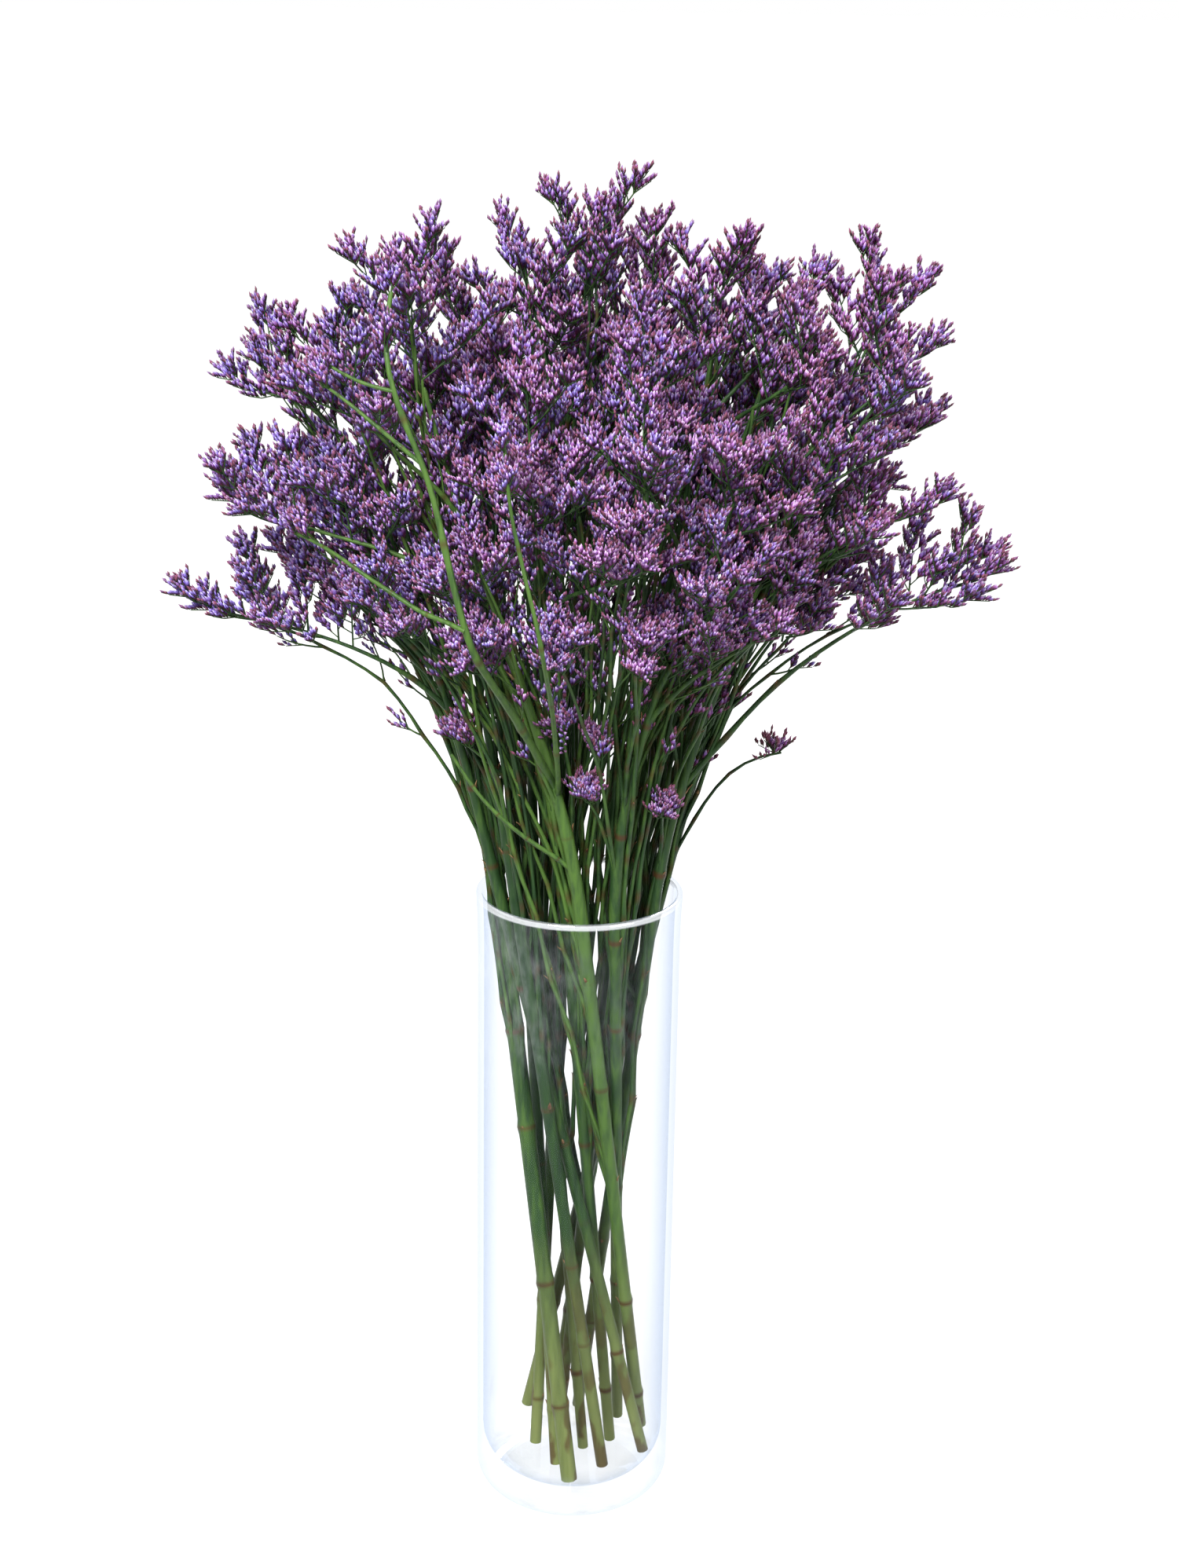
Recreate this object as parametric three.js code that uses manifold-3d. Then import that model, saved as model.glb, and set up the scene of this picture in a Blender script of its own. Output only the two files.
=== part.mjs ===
import * as THREE from "three";
import { mergeVertices } from "three/addons/utils/BufferGeometryUtils.js";
import Module from "manifold-3d";

// A bunch of dried statice standing in a glass cylinder vase.
// Millimetres, +Z up, origin at the middle of the vase's underside. The bunch is seen from -Y.

// Vase
const vaseHeight = 326;
const vaseRadius = 49.5;
const vaseWall = 3.2;
const vaseFloor = 12;
const vaseOuterCorner = 13;
const vaseInnerCorner = 20;
const rimFlare = 0.8;
const rimFlareHeight = 8;
const vaseSides = 32;
const outerCornerSteps = 3;
const innerCornerSteps = 6;
const lipSteps = 2;

// Stems, and the branches that carry their sprays
const touchingGap = 0.3;
const stemSides = 5;
const stemSteps = 4;
const stemTopRadius = 1.9;
const nodeSwelling = 1.25;
const branchSides = 3;
const branchSteps = 3;
const branchRadius = 1.5;
const branchTipRadius = 1.1;
const branchLead = 32;
const branchDrop = 55;
const lowestBranch = 346;
const startStep = 0.01;
const belowTopSpray = 0.04;

// How far a line keeps its first and its last direction, as shares of its reach
const leavingPull = 0.35;
const arrivingPull = 0.4;

// How steeply a spray is seen from the vase's mouth, and how far its tip is lifted from level for it
const lowSteepness = THREE.MathUtils.degToRad(40);
const highSteepness = THREE.MathUtils.degToRad(70);
const lowLift = 0.2;
const highLift = 1.4;
const highestLift = 1.45;

// Sideways bends that are tried in turn, and the space that a branch is given, to keep branches apart
const bends = [0, 9, -9, 18, -18, 27, -27, 36, -36];
const spaceRadius = 2.7;
const spaceSides = 4;
const spaceSteps = 6;
const freeRootShare = 0.1;

// Sprays: lobes set with florets stand round a thin axis
const axisSides = 3;
const axisRadii = [1.1, 1, 0.8];
const axisShare = 0.75;
const lobeSpacing = 10;
const firstLobe = 0.08;
const lastSideLobe = 0.66;
const topLobeReach = 32;
const topLobeRoot = 36;
const lobeReach = 50.6;
const reachLoss = 20.7;
const lobeLift = 0.5;
const levelLobeLift = 0.6;
const widestSpread = THREE.MathUtils.degToRad(84);
const spreadLoss = THREE.MathUtils.degToRad(44);
const goldenAngle = THREE.MathUtils.degToRad(137.5);

// A lobe is a spindle that sags a little, each of its faces drawn out to a floret
const lobeSides = 3;
const lobeStops = [0, 0.36, 0.72, 1];
const lobeRadii = [0, 6.2, 5.27, 0];
const lobeMiddle = 0.55;
const lobeSag = 0.08;
const floretHeight = 5;
const floretLean = 3;
const lobeSizes = [1, 0.85, 0.7, 0.55];
const clearance = 0.35;

const up = new THREE.Vector3(0, 0, 1);
const mouth = new THREE.Vector3(0, 0, vaseHeight);

// Each stem's cut foot and the place where it leaves the vase, both across the vase, its radius, and the
// tips of its flower sprays with their lengths, and for the long ones the height where their branch starts.
// The first spray is at the stem's own top.
const stems = [
  { foot: [36, 15], rim: [1, -41], radius: 3.2,
    sprays: [[-82, -55, 640, 66], [-112, -72, 590, 62], [-166, -42, 532, 74, 482], [-50, -95, 520, 54]] },
  { foot: [24, 28], rim: [17, -37], radius: 3,
    sprays: [[73, -88, 560, 60], [71, -115, 512, 62], [88, -90, 484, 56], [18, -118, 568, 58]] },
  { foot: [3, 37], rim: [36, -17], radius: 3,
    sprays: [[143, -32, 594, 62], [150, -34, 528, 64], [198, -22, 492, 88, 385], [112, -62, 560, 54]] },
  { foot: [-24, 32], rim: [41, 10], radius: 3.1,
    sprays: [[143, 8, 624, 66], [155, 6, 560, 58], [132, 62, 572, 60], [128, 58, 500, 58]] },
  { foot: [-9, 39], rim: [29, 28], radius: 2.9,
    sprays: [[85, 78, 612, 62], [92, 110, 550, 62], [72, 105, 488, 58], [42, 125, 578, 58]] },
  { foot: [-19, 8], rim: [-7, 34], radius: 3,
    sprays: [[0, 95, 620, 62], [-12, 142, 560, 62], [8, 132, 498, 58], [-48, 112, 580, 56]] },
  { foot: [-8, -12], rim: [-28, 28], radius: 3,
    sprays: [[-62, 48, 610, 60], [-100, 82, 558, 62], [-88, 98, 494, 60]] },
  { foot: [-1, -27], rim: [-40, 3], radius: 4.2,
    sprays: [[-118, -8, 602, 60], [-155, 10, 588, 60], [-150, 32, 528, 60]] },
  { foot: [37, -6], rim: [-38, -14], radius: 3,
    sprays: [[-110, -60, 545, 60], [-184, -27, 472, 88, 424], [-138, -8, 495, 56]] },
  { foot: [16, -13], rim: [-30, -23], radius: 3.1,
    sprays: [[-64, -50, 562, 58], [-64, -90, 510, 54], [-104, -70, 490, 58]] },
  { foot: [20, 12], rim: [-7, -20], radius: 2.9,
    sprays: [[-26, -72, 590, 60], [-22, -116, 552, 58], [28, -130, 524, 66], [36, -66, 604, 60]] },
  { foot: [-7, 24], rim: [19, 1], radius: 2.8,
    sprays: [[62, -10, 634, 60], [97, 12, 618, 58], [103, -42, 602, 56]] },
  { foot: [6, 4], rim: [-21, 4], radius: 2.8,
    sprays: [[4, 15, 655, 60], [-30, -5, 634, 58], [34, 38, 628, 56]] },
];

const glass = new THREE.MeshStandardMaterial({
  color: 0xeaf2f2, roughness: 0.03, metalness: 0, transparent: true, opacity: 0.25,
});
const green = new THREE.MeshStandardMaterial({ color: 0x44602f, roughness: 0.7, metalness: 0 });
const violet = new THREE.MeshStandardMaterial({ color: 0x8a5fb4, roughness: 0.85, metalness: 0 });

const wasm = await Module();
wasm.setup();

// A closed three.js geometry as a solid that can be joined and cut
function toSolid(geometry) {
  const bare = geometry.clone();
  bare.deleteAttribute("normal");
  bare.deleteAttribute("uv");
  const merged = mergeVertices(bare, 1e-4);
  const index = merged.index.array;
  const triVerts = [];
  for (let i = 0; i < index.length; i += 3) {
    const [a, b, c] = [index[i], index[i + 1], index[i + 2]];
    if (a !== b && b !== c && c !== a) {
      triVerts.push(a, b, c);
    }
  }
  return new wasm.Manifold(new wasm.Mesh({
    numProp: 3,
    vertProperties: new Float32Array(merged.attributes.position.array),
    triVerts: new Uint32Array(triVerts),
  }));
}

function toMesh(solid, material, name) {
  const { vertProperties, triVerts } = solid.getMesh();
  const geometry = new THREE.BufferGeometry();
  geometry.setAttribute("position", new THREE.BufferAttribute(vertProperties, 3));
  geometry.setIndex(new THREE.BufferAttribute(triVerts, 1));
  geometry.computeVertexNormals();
  const mesh = new THREE.Mesh(geometry, material);
  mesh.name = name;
  return mesh;
}

// The outer skin of a solid, with any hollow that joining has sealed filled in
function largestPiece(solid) {
  return solid.decompose().reduce((best, piece) => (piece.volume() > best.volume() ? piece : best));
}

function overlapsAny(solid, others) {
  return others.some((other) => !solid.intersect(other).isEmpty());
}

// How much of a solid lies inside any of the others
function overlap(solid, others) {
  return others.reduce((sum, other) => sum + solid.intersect(other).volume(), 0);
}

function evenStops(from, to, count) {
  return Array.from({ length: count + 1 }, (_, i) => from + (to - from) * (i / count));
}

// Frames carried along a curve without twist, one for each stop between 0 and 1
function framesAlong(curve, stops) {
  let side = new THREE.Vector3(1, 0, 0);
  return stops.map((stop) => {
    const tangent = curve.getTangentAt(stop);
    side = side.clone().addScaledVector(tangent, -side.dot(tangent)).normalize();
    const across = new THREE.Vector3().crossVectors(tangent, side);
    return { point: curve.getPointAt(stop), tangent, side, across };
  });
}

// A turned profile whose axis is then laid along a curve, with one radius for each stop
function roundAlong(curve, stops, radii, sides) {
  const profile = [new THREE.Vector2(0, 0)];
  radii.forEach((radius, i) => profile.push(new THREE.Vector2(radius, i)));
  profile.push(new THREE.Vector2(0, radii.length - 1));
  const geometry = new THREE.LatheGeometry(profile, sides);
  const frames = framesAlong(curve, stops);
  const position = geometry.attributes.position;
  for (let i = 0; i < position.count; i += 1) {
    const frame = frames[Math.round(position.getY(i))];
    const point = frame.point.clone()
      .addScaledVector(frame.side, position.getZ(i))
      .addScaledVector(frame.across, position.getX(i));
    position.setXYZ(i, point.x, point.y, point.z);
  }
  return geometry;
}

// Points of a round corner from one angle to another, for the vase's profile
function arc(centreX, centreY, radius, from, to, steps) {
  return evenStops(from, to, steps).map((angle) => (
    new THREE.Vector2(centreX + radius * Math.cos(angle), centreY + radius * Math.sin(angle))
  ));
}

function makeVase() {
  const inner = vaseRadius - vaseWall;
  const floorRadius = inner - vaseInnerCorner;
  const lip = vaseWall / 2;
  const quarter = Math.PI / 2;
  const profile = [
    new THREE.Vector2(0, 0),
    ...arc(vaseRadius - vaseOuterCorner, vaseOuterCorner, vaseOuterCorner, -quarter, 0, outerCornerSteps),
    new THREE.Vector2(vaseRadius, vaseHeight - rimFlareHeight),
    ...arc(inner + lip + rimFlare, vaseHeight - lip, lip, 0, 2 * quarter, lipSteps),
    new THREE.Vector2(inner, vaseHeight - rimFlareHeight),
    ...arc(floorRadius, vaseFloor + vaseInnerCorner, vaseInnerCorner, 0, -quarter, innerCornerSteps),
    new THREE.Vector2(0, vaseFloor),
  ];
  const geometry = new THREE.LatheGeometry(profile, vaseSides);
  geometry.rotateX(Math.PI / 2);
  return toSolid(geometry);
}

// Height of the vase's inner surface at a distance from its middle, where its sides are nearest to it
function innerFloor(distance) {
  const outermost = distance / Math.cos(Math.PI / vaseSides);
  const flat = vaseRadius - vaseWall - vaseInnerCorner;
  const past = THREE.MathUtils.clamp(outermost - flat, 0, vaseInnerCorner);
  return vaseFloor + vaseInnerCorner - Math.sqrt(vaseInnerCorner ** 2 - past ** 2);
}

// How high a stem's cut end stands, so that its corners just clear the glass below them
function footHeight(foot, leaving, radius) {
  const side = new THREE.Vector3(1, 0, 0).addScaledVector(leaving, -leaving.x).normalize();
  const across = new THREE.Vector3().crossVectors(leaving, side);
  const heights = evenStops(0, 2 * Math.PI, stemSides).map((angle) => {
    const corner = side.clone().multiplyScalar(radius * Math.cos(angle))
      .addScaledVector(across, radius * Math.sin(angle));
    return innerFloor(Math.hypot(foot.x + corner.x, foot.y + corner.y)) - corner.z;
  });
  return Math.max(...heights) + touchingGap;
}

// Which way a spray points: level at the bunch's sides, upright at its top
function tipDirection(tip, start) {
  const out = tip.clone().sub(mouth);
  const steepness = Math.atan2(out.z, Math.hypot(out.x, out.y));
  const lift = THREE.MathUtils.mapLinear(steepness, lowSteepness, highSteepness, lowLift, highLift);
  const bounded = THREE.MathUtils.clamp(lift, lowLift, highestLift);
  const level = new THREE.Vector3(tip.x - start.x, tip.y - start.y, 0).normalize();
  return level.multiplyScalar(Math.cos(bounded)).addScaledVector(up, Math.sin(bounded));
}

// A line that leaves its start in a given direction and ends at a spray's tip, pushed aside by a shift
function growthCurve(start, leaving, tip, shift) {
  const reach = start.distanceTo(tip);
  return new THREE.CubicBezierCurve3(
    start,
    start.clone().addScaledVector(leaving, leavingPull * reach).add(shift),
    tip.clone().addScaledVector(tipDirection(tip, start), -arrivingPull * reach).add(shift),
    tip,
  );
}

// A stem's line: straight from its foot to the rim, then bending out to the tip of its top spray
function stemCurve(stem) {
  const rim = new THREE.Vector3(...stem.rim, vaseHeight);
  const foot = new THREE.Vector3(...stem.foot, vaseFloor);
  foot.z = footHeight(foot, rim.clone().sub(foot).normalize(), stem.radius);
  const [x, y, z] = stem.sprays[0];
  const leaving = rim.clone().sub(foot).normalize();
  const curve = new THREE.CurvePath();
  curve.add(new THREE.LineCurve3(foot, rim));
  curve.add(growthCurve(rim, leaving, new THREE.Vector3(x, y, z), new THREE.Vector3()));
  return curve;
}

// The highest place on a stem from which a branch can reach a spray's tip
function branchStart(main, highest, tip, length, startHeight) {
  for (let place = highest; place > 0; place -= startStep) {
    const point = main.getPointAt(place);
    const farEnough = point.distanceTo(tip) > length + branchLead;
    if ((farEnough && point.z < startHeight) || point.z < lowestBranch) {
      return place;
    }
  }
  return 0;
}

// A branch's line from its stem to the tip of its spray, bent sideways by some millimetres
function branchCurve(main, place, tip, bend) {
  const start = main.getPointAt(place);
  const toTip = tip.clone().sub(start).normalize();
  const shift = new THREE.Vector3().crossVectors(toTip, up).normalize().multiplyScalar(bend);
  return growthCurve(start, main.getTangentAt(place).add(toTip).normalize(), tip, shift);
}

// The space that a branch or a spray's axis is given along part of a curve
function spaceAlong(curve, from, to) {
  const stops = evenStops(from, to, spaceSteps);
  return toSolid(roundAlong(curve, stops, stops.map(() => spaceRadius), spaceSides));
}

// A branch to a spray, with the bend that keeps it best out of the space of lines that stand already
function clearBranch(main, place, tip, length, { taken, wood, axes }) {
  const tries = bends.map((bend) => {
    const curve = branchCurve(main, place, tip, bend);
    const from = 1 - length / curve.getLength();
    const branchSpace = spaceAlong(curve, freeRootShare, from);
    const axisSpace = spaceAlong(curve, from, 1);
    const others = [...taken, ...axes];
    const fault = overlap(branchSpace, others) + overlap(axisSpace, [...others, ...wood]);
    return { curve, from, place, branchSpace, axisSpace, fault };
  });
  return tries.reduce((least, one) => (one.fault < least.fault ? one : least));
}

// A stem's own line, where its top spray starts, and its branches; their space is added to what is taken
function layOutStem(stem, taken) {
  const main = stemCurve(stem);
  const [top, ...others] = stem.sprays;
  const rimStop = main.getCurveLengths()[0] / main.getLength();
  const topStart = 1 - top[3] / main.getLength();
  const wood = [spaceAlong(main, rimStop, topStart)];
  const axes = [spaceAlong(main, topStart, 1)];
  const branches = others.map(([x, y, z, length, startHeight = z - branchDrop]) => {
    const tip = new THREE.Vector3(x, y, z);
    const place = branchStart(main, topStart - belowTopSpray, tip, length, startHeight);
    const branch = clearBranch(main, place, tip, length, { taken, wood, axes });
    wood.push(branch.branchSpace);
    axes.push(branch.axisSpace);
    return branch;
  });
  taken.push(...wood, ...axes);
  return { stem, main, rimStop, topStart, branches };
}

// A stem with its branches, swollen where each of them starts
function makeStem({ stem, main, rimStop, topStart, branches }) {
  const places = branches.map(({ place }) => place);
  const upper = evenStops(rimStop, topStart, stemSteps);
  const stops = [0, ...upper, ...places].sort((a, b) => a - b);
  const radii = stops.map((stop) => {
    const share = Math.max(0, (stop - rimStop) / (1 - rimStop));
    const radius = THREE.MathUtils.lerp(stem.radius, stemTopRadius, share);
    return places.includes(stop) ? radius * nodeSwelling : radius;
  });
  radii[radii.length - 1] = branchTipRadius;
  const trunk = toSolid(roundAlong(main, stops, radii, stemSides));
  return branches.reduce((joined, { curve, from }) => {
    const branchStops = evenStops(0, from, branchSteps);
    const branchRadii = branchStops.map((stop) => (stop < from ? branchRadius : branchTipRadius));
    return joined.add(toSolid(roundAlong(curve, branchStops, branchRadii, branchSides)));
  }, trunk);
}

// Draw each face of a closed geometry out to a leaning point, but not the faces at its root
function raiseFlorets(geometry, root, direction, height) {
  const faces = geometry.toNonIndexed().attributes.position;
  const points = [];
  const corners = [new THREE.Vector3(), new THREE.Vector3(), new THREE.Vector3()];
  const face = new THREE.Triangle();
  for (let i = 0; i < faces.count; i += 3) {
    corners.forEach((point, k) => point.fromBufferAttribute(faces, i + k));
    face.set(...corners);
    if (face.getArea() < 1e-6) {
      continue;
    }
    if (corners.some((point) => point.distanceTo(root) < 1e-3)) {
      corners.forEach((point) => points.push(...point.toArray()));
      continue;
    }
    const peak = face.getMidpoint(new THREE.Vector3())
      .addScaledVector(face.getNormal(new THREE.Vector3()), height)
      .addScaledVector(direction, floretLean);
    for (let k = 0; k < 3; k += 1) {
      points.push(...corners[k].toArray(), ...corners[(k + 1) % 3].toArray(), ...peak.toArray());
    }
  }
  const raised = new THREE.BufferGeometry();
  raised.setAttribute("position", new THREE.Float32BufferAttribute(points, 3));
  return raised;
}

// One lobe of a spray, made smaller by a size or wider all round by a margin
function makeLobe(root, direction, reach, size, margin) {
  const length = reach * size;
  const fullness = Math.sqrt(size);
  const tip = root.clone().addScaledVector(direction, length + margin);
  const middle = root.clone()
    .addScaledVector(direction, lobeMiddle * length)
    .addScaledVector(up, -lobeSag * length);
  const radii = lobeRadii.map((radius) => (radius > 0 ? radius * fullness + margin : 0));
  const spindle = roundAlong(new THREE.QuadraticBezierCurve3(root, middle, tip), lobeStops, radii, lobeSides);
  return toSolid(raiseFlorets(spindle, root, direction, floretHeight * fullness + margin));
}

// The lobes stand round the spray's axis at the golden angle, all lifted a little towards the light
function lobeDirection(frame, order, along) {
  const around = order * goldenAngle;
  const spread = widestSpread - spreadLoss * along;
  return frame.tangent.clone().multiplyScalar(Math.cos(spread))
    .addScaledVector(frame.side, Math.sin(spread) * Math.cos(around))
    .addScaledVector(frame.across, Math.sin(spread) * Math.sin(around))
    .addScaledVector(up, lobeLift + levelLobeLift * (1 - frame.tangent.z))
    .normalize();
}

// Where each lobe of a spray starts, which way it grows and how far; the last one goes on with the axis
function layOutLobes(curve, from, order) {
  const length = curve.getLength() * (1 - from);
  const sideLobes = Math.round(length / lobeSpacing) - 1;
  const lobes = evenStops(firstLobe, lastSideLobe, sideLobes - 1).map((along, i) => {
    const [frame] = framesAlong(curve, [from + (1 - from) * along]);
    const direction = lobeDirection(frame, order + i, along);
    return { root: frame.point, direction, reach: lobeReach - reachLoss * along };
  });
  const [top] = framesAlong(curve, [1 - topLobeRoot / curve.getLength()]);
  return [...lobes, { root: top.point, direction: top.tangent, reach: topLobeReach }];
}

// A spray: its axis, and each lobe at the largest size that is clear of everything else
function makeSpray(curve, from, order, others) {
  const start = from + touchingGap / curve.getLength();
  const stops = evenStops(start, from + axisShare * (1 - from), axisRadii.length - 1);
  const axis = toSolid(roundAlong(curve, stops, axisRadii, axisSides));
  const spray = layOutLobes(curve, from, order).reduce((joined, { root, direction, reach }) => {
    const size = lobeSizes.find((one) => (
      !overlapsAny(makeLobe(root, direction, reach, one, clearance), others)
    ));
    return size ? joined.add(makeLobe(root, direction, reach, size, 0)) : joined;
  }, axis);
  return largestPiece(spray);
}

const numbered = (kind, i) => `${kind}_${String(i + 1).padStart(2, "0")}`;

const bunch = new THREE.Group();
bunch.add(toMesh(makeVase(), glass, "vase"));

const taken = [];
const layout = stems.map((stem) => layOutStem(stem, taken));
const stemSolids = layout.map(makeStem);
stemSolids.forEach((solid, i) => bunch.add(toMesh(solid, green, numbered("stem", i))));

const sprayLines = layout.flatMap(({ main, topStart, branches }) => (
  [{ curve: main, from: topStart }, ...branches]
));
const axisSpaces = sprayLines.map(({ curve, from }) => spaceAlong(curve, from, 1));
const sprays = [];
sprayLines.forEach(({ curve, from }, i) => {
  const others = [...stemSolids, ...sprays, ...axisSpaces.slice(i + 1)];
  sprays.push(makeSpray(curve, from, i, others));
});
sprays.forEach((solid, i) => bunch.add(toMesh(solid, violet, numbered("spray", i))));

export default bunch;
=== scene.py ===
import math
import random

import bpy
import bmesh
import numpy as np
from mathutils import Euler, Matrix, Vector


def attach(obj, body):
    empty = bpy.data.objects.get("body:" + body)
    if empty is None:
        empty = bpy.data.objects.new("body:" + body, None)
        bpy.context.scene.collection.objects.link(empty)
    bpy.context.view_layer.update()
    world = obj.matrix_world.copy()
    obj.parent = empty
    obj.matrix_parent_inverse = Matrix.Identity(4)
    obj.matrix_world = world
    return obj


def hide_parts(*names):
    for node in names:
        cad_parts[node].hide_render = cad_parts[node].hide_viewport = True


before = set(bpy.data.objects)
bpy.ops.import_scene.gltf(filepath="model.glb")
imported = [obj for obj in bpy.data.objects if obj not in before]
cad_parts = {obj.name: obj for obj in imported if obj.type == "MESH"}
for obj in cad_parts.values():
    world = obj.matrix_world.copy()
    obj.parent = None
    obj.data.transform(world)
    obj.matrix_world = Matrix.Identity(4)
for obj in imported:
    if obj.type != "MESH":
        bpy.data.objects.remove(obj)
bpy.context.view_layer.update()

# Dried statice in a glass vase. The layout is in millimetres and in the CAD's frame, and meshes get
# metres. The bunch is seen from -Y, and the vase stands on z = 0.

metres = 0.001
upward = np.array([0.0, 0.0, 1.0])
almostUpward = np.array([0.01, 0.02, 1.0])  # no stem or branch runs exactly this way


# Small helpers for lines in space

def unit(vector):
    return vector / max(np.linalg.norm(vector), 1e-9)


def blendTo(first, second, share):
    return first + (second - first) * share


def rightOf(axis):  # square to an axis, towards +X
    return unit(np.array([1.0, 0, 0]) - axis * axis[0])


def fanOut(axis, opening, around):  # a direction that opens from an axis
    side = unit(np.cross(axis, almostUpward))
    across = np.cross(side, axis)
    outward = side * math.cos(around) + across * math.sin(around)
    return unit(axis * math.cos(opening) + outward * math.sin(opening))


def evenLine(points, steps):  # the same line cut in equal steps, so that a share is a place on it
    points = np.asarray(points, float)
    run = np.concatenate([[0], np.cumsum(np.linalg.norm(np.diff(points, axis=0), axis=1))])
    stops = np.linspace(0, run[-1], steps + 1)
    return np.column_stack([np.interp(stops, run, points[:, k]) for k in range(3)])


def lineLength(line):
    return float(np.linalg.norm(np.diff(line, axis=0), axis=1).sum())


def pointAt(line, share):
    place = np.clip(share, 0, 1) * (len(line) - 1)
    low = min(int(place), len(line) - 2)
    return blendTo(line[low], line[low + 1], place - low)


def tangentAt(line, share):
    low = min(int(np.clip(share, 0, 1) * (len(line) - 1)), len(line) - 2)
    return unit(line[low + 1] - line[low])


def partOf(line, start, end, steps):
    return np.array([pointAt(line, share) for share in np.linspace(start, end, steps + 1)])


def bentLine(start, startPull, endPull, end, steps):  # a cubic curve through two pulls
    t = np.linspace(0, 1, steps + 1)[:, None]
    left = 1 - t
    return left ** 3 * start + 3 * left ** 2 * t * startPull + 3 * left * t ** 2 * endPull + t ** 3 * end


def bowedLine(start, middle, end, steps):  # a quadratic curve
    t = np.linspace(0, 1, steps + 1)[:, None]
    return (1 - t) ** 2 * start + 2 * (1 - t) * t * middle + t ** 2 * end


def rounded(points, rounds=2):  # cuts the corners of a line, and keeps its ends
    line = np.array(points, float)
    for k in range(rounds):
        near, far = line[:-1] * 0.75 + line[1:] * 0.25, line[:-1] * 0.25 + line[1:] * 0.75
        inner = np.stack([near, far], 1).reshape(-1, 3)
        line = np.vstack([line[:1], inner, line[-1:]])
    return line


# The bunch, laid out by the same rules as the CAD source

vaseForm = dict(
    height=326, radius=49.5, wall=3.2, floor=12, outerCorner=13, innerCorner=20,
    rimFlare=0.8, flareBelowRim=14, flareStart=0.3, wallFrom=60, wallBelowRim=30, wallRings=3,
    sides=112, cornerSteps=8, lipSteps=8)

growth = dict(
    footGap=0.3, footSides=24, leavingPull=0.35, arrivingPull=0.4, stemSteps=300, branchSteps=120,
    lowSteepness=math.radians(40), highSteepness=math.radians(70),
    lowLift=0.2, highLift=1.4, highestLift=1.45,
    branchLead=32, branchDrop=55, lowestBranch=346, startStep=0.01, belowTopSpray=0.04,
    bends=(0, 9, -9, 18, -18, 27, -27, 36, -36),
    lobeSpacing=10, firstLobe=0.08, lastSideLobe=0.66, topLobeReach=32, topLobeRoot=36,
    lobeReach=50.6, reachLoss=20.7, lobeLift=0.5, levelLobeLift=0.6,
    widestSpread=math.radians(84), spreadLoss=math.radians(44), goldenAngle=math.radians(137.5),
    lobeSizes=(1, 0.85, 0.7, 0.55), sameLobe=1, lobeMiddle=0.55, lobeSag=0.08)

# Foot and rim are across the vase. A spray is the tip's x, y and z, its length, and for a long one the
# height where its branch starts. The first spray is the stem's own top.
stemRows = [
    dict(foot=(36, 15), rim=(1, -41), radius=3.2,
         sprays=((-82, -55, 640, 66), (-112, -72, 590, 62), (-166, -42, 532, 74, 482), (-50, -95, 520, 54))),
    dict(foot=(24, 28), rim=(17, -37), radius=3,
         sprays=((73, -88, 560, 60), (71, -115, 512, 62), (88, -90, 484, 56), (18, -118, 568, 58))),
    dict(foot=(3, 37), rim=(36, -17), radius=3,
         sprays=((143, -32, 594, 62), (150, -34, 528, 64), (198, -22, 492, 88, 385), (112, -62, 560, 54))),
    dict(foot=(-24, 32), rim=(41, 10), radius=3.1,
         sprays=((143, 8, 624, 66), (155, 6, 560, 58), (132, 62, 572, 60), (128, 58, 500, 58))),
    dict(foot=(-9, 39), rim=(29, 28), radius=2.9,
         sprays=((85, 78, 612, 62), (92, 110, 550, 62), (72, 105, 488, 58), (42, 125, 578, 58))),
    dict(foot=(-19, 8), rim=(-7, 34), radius=3,
         sprays=((0, 95, 620, 62), (-12, 142, 560, 62), (8, 132, 498, 58), (-48, 112, 580, 56))),
    dict(foot=(-8, -12), rim=(-28, 28), radius=3,
         sprays=((-62, 48, 610, 60), (-100, 82, 558, 62), (-88, 98, 494, 60))),
    dict(foot=(-1, -27), rim=(-40, 3), radius=4.2,
         sprays=((-118, -8, 602, 60), (-155, 10, 588, 60), (-150, 32, 528, 60))),
    dict(foot=(37, -6), rim=(-38, -14), radius=3,
         sprays=((-110, -60, 545, 60), (-184, -27, 472, 88, 424), (-138, -8, 495, 56))),
    dict(foot=(16, -13), rim=(-30, -23), radius=3.1,
         sprays=((-64, -50, 562, 58), (-64, -90, 510, 54), (-104, -70, 490, 58))),
    dict(foot=(20, 12), rim=(-7, -20), radius=2.9,
         sprays=((-26, -72, 590, 60), (-22, -116, 552, 58), (28, -130, 524, 66), (36, -66, 604, 60))),
    dict(foot=(-7, 24), rim=(19, 1), radius=2.8,
         sprays=((62, -10, 634, 60), (97, 12, 618, 58), (103, -42, 602, 56))),
    dict(foot=(6, 4), rim=(-21, 4), radius=2.8,
         sprays=((4, 15, 655, 60), (-30, -5, 634, 58), (34, 38, 628, 56))),
]


def innerFloor(distance):
    v = vaseForm
    flat = v["radius"] - v["wall"] - v["innerCorner"]
    past = min(max(distance - flat, 0), v["innerCorner"])
    return v["floor"] + v["innerCorner"] - math.sqrt(v["innerCorner"] ** 2 - past ** 2)


def footHeight(foot, leaving, radius):  # the round cut end just clears the glass
    side = rightOf(leaving)
    across = np.cross(leaving, side)
    heights = []
    for angle in np.linspace(0, 2 * math.pi, growth["footSides"], endpoint=False):
        edge = side * radius * math.cos(angle) + across * radius * math.sin(angle)
        heights.append(innerFloor(math.hypot(foot[0] + edge[0], foot[1] + edge[1])) - edge[2])
    return max(heights) + growth["footGap"]


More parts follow.
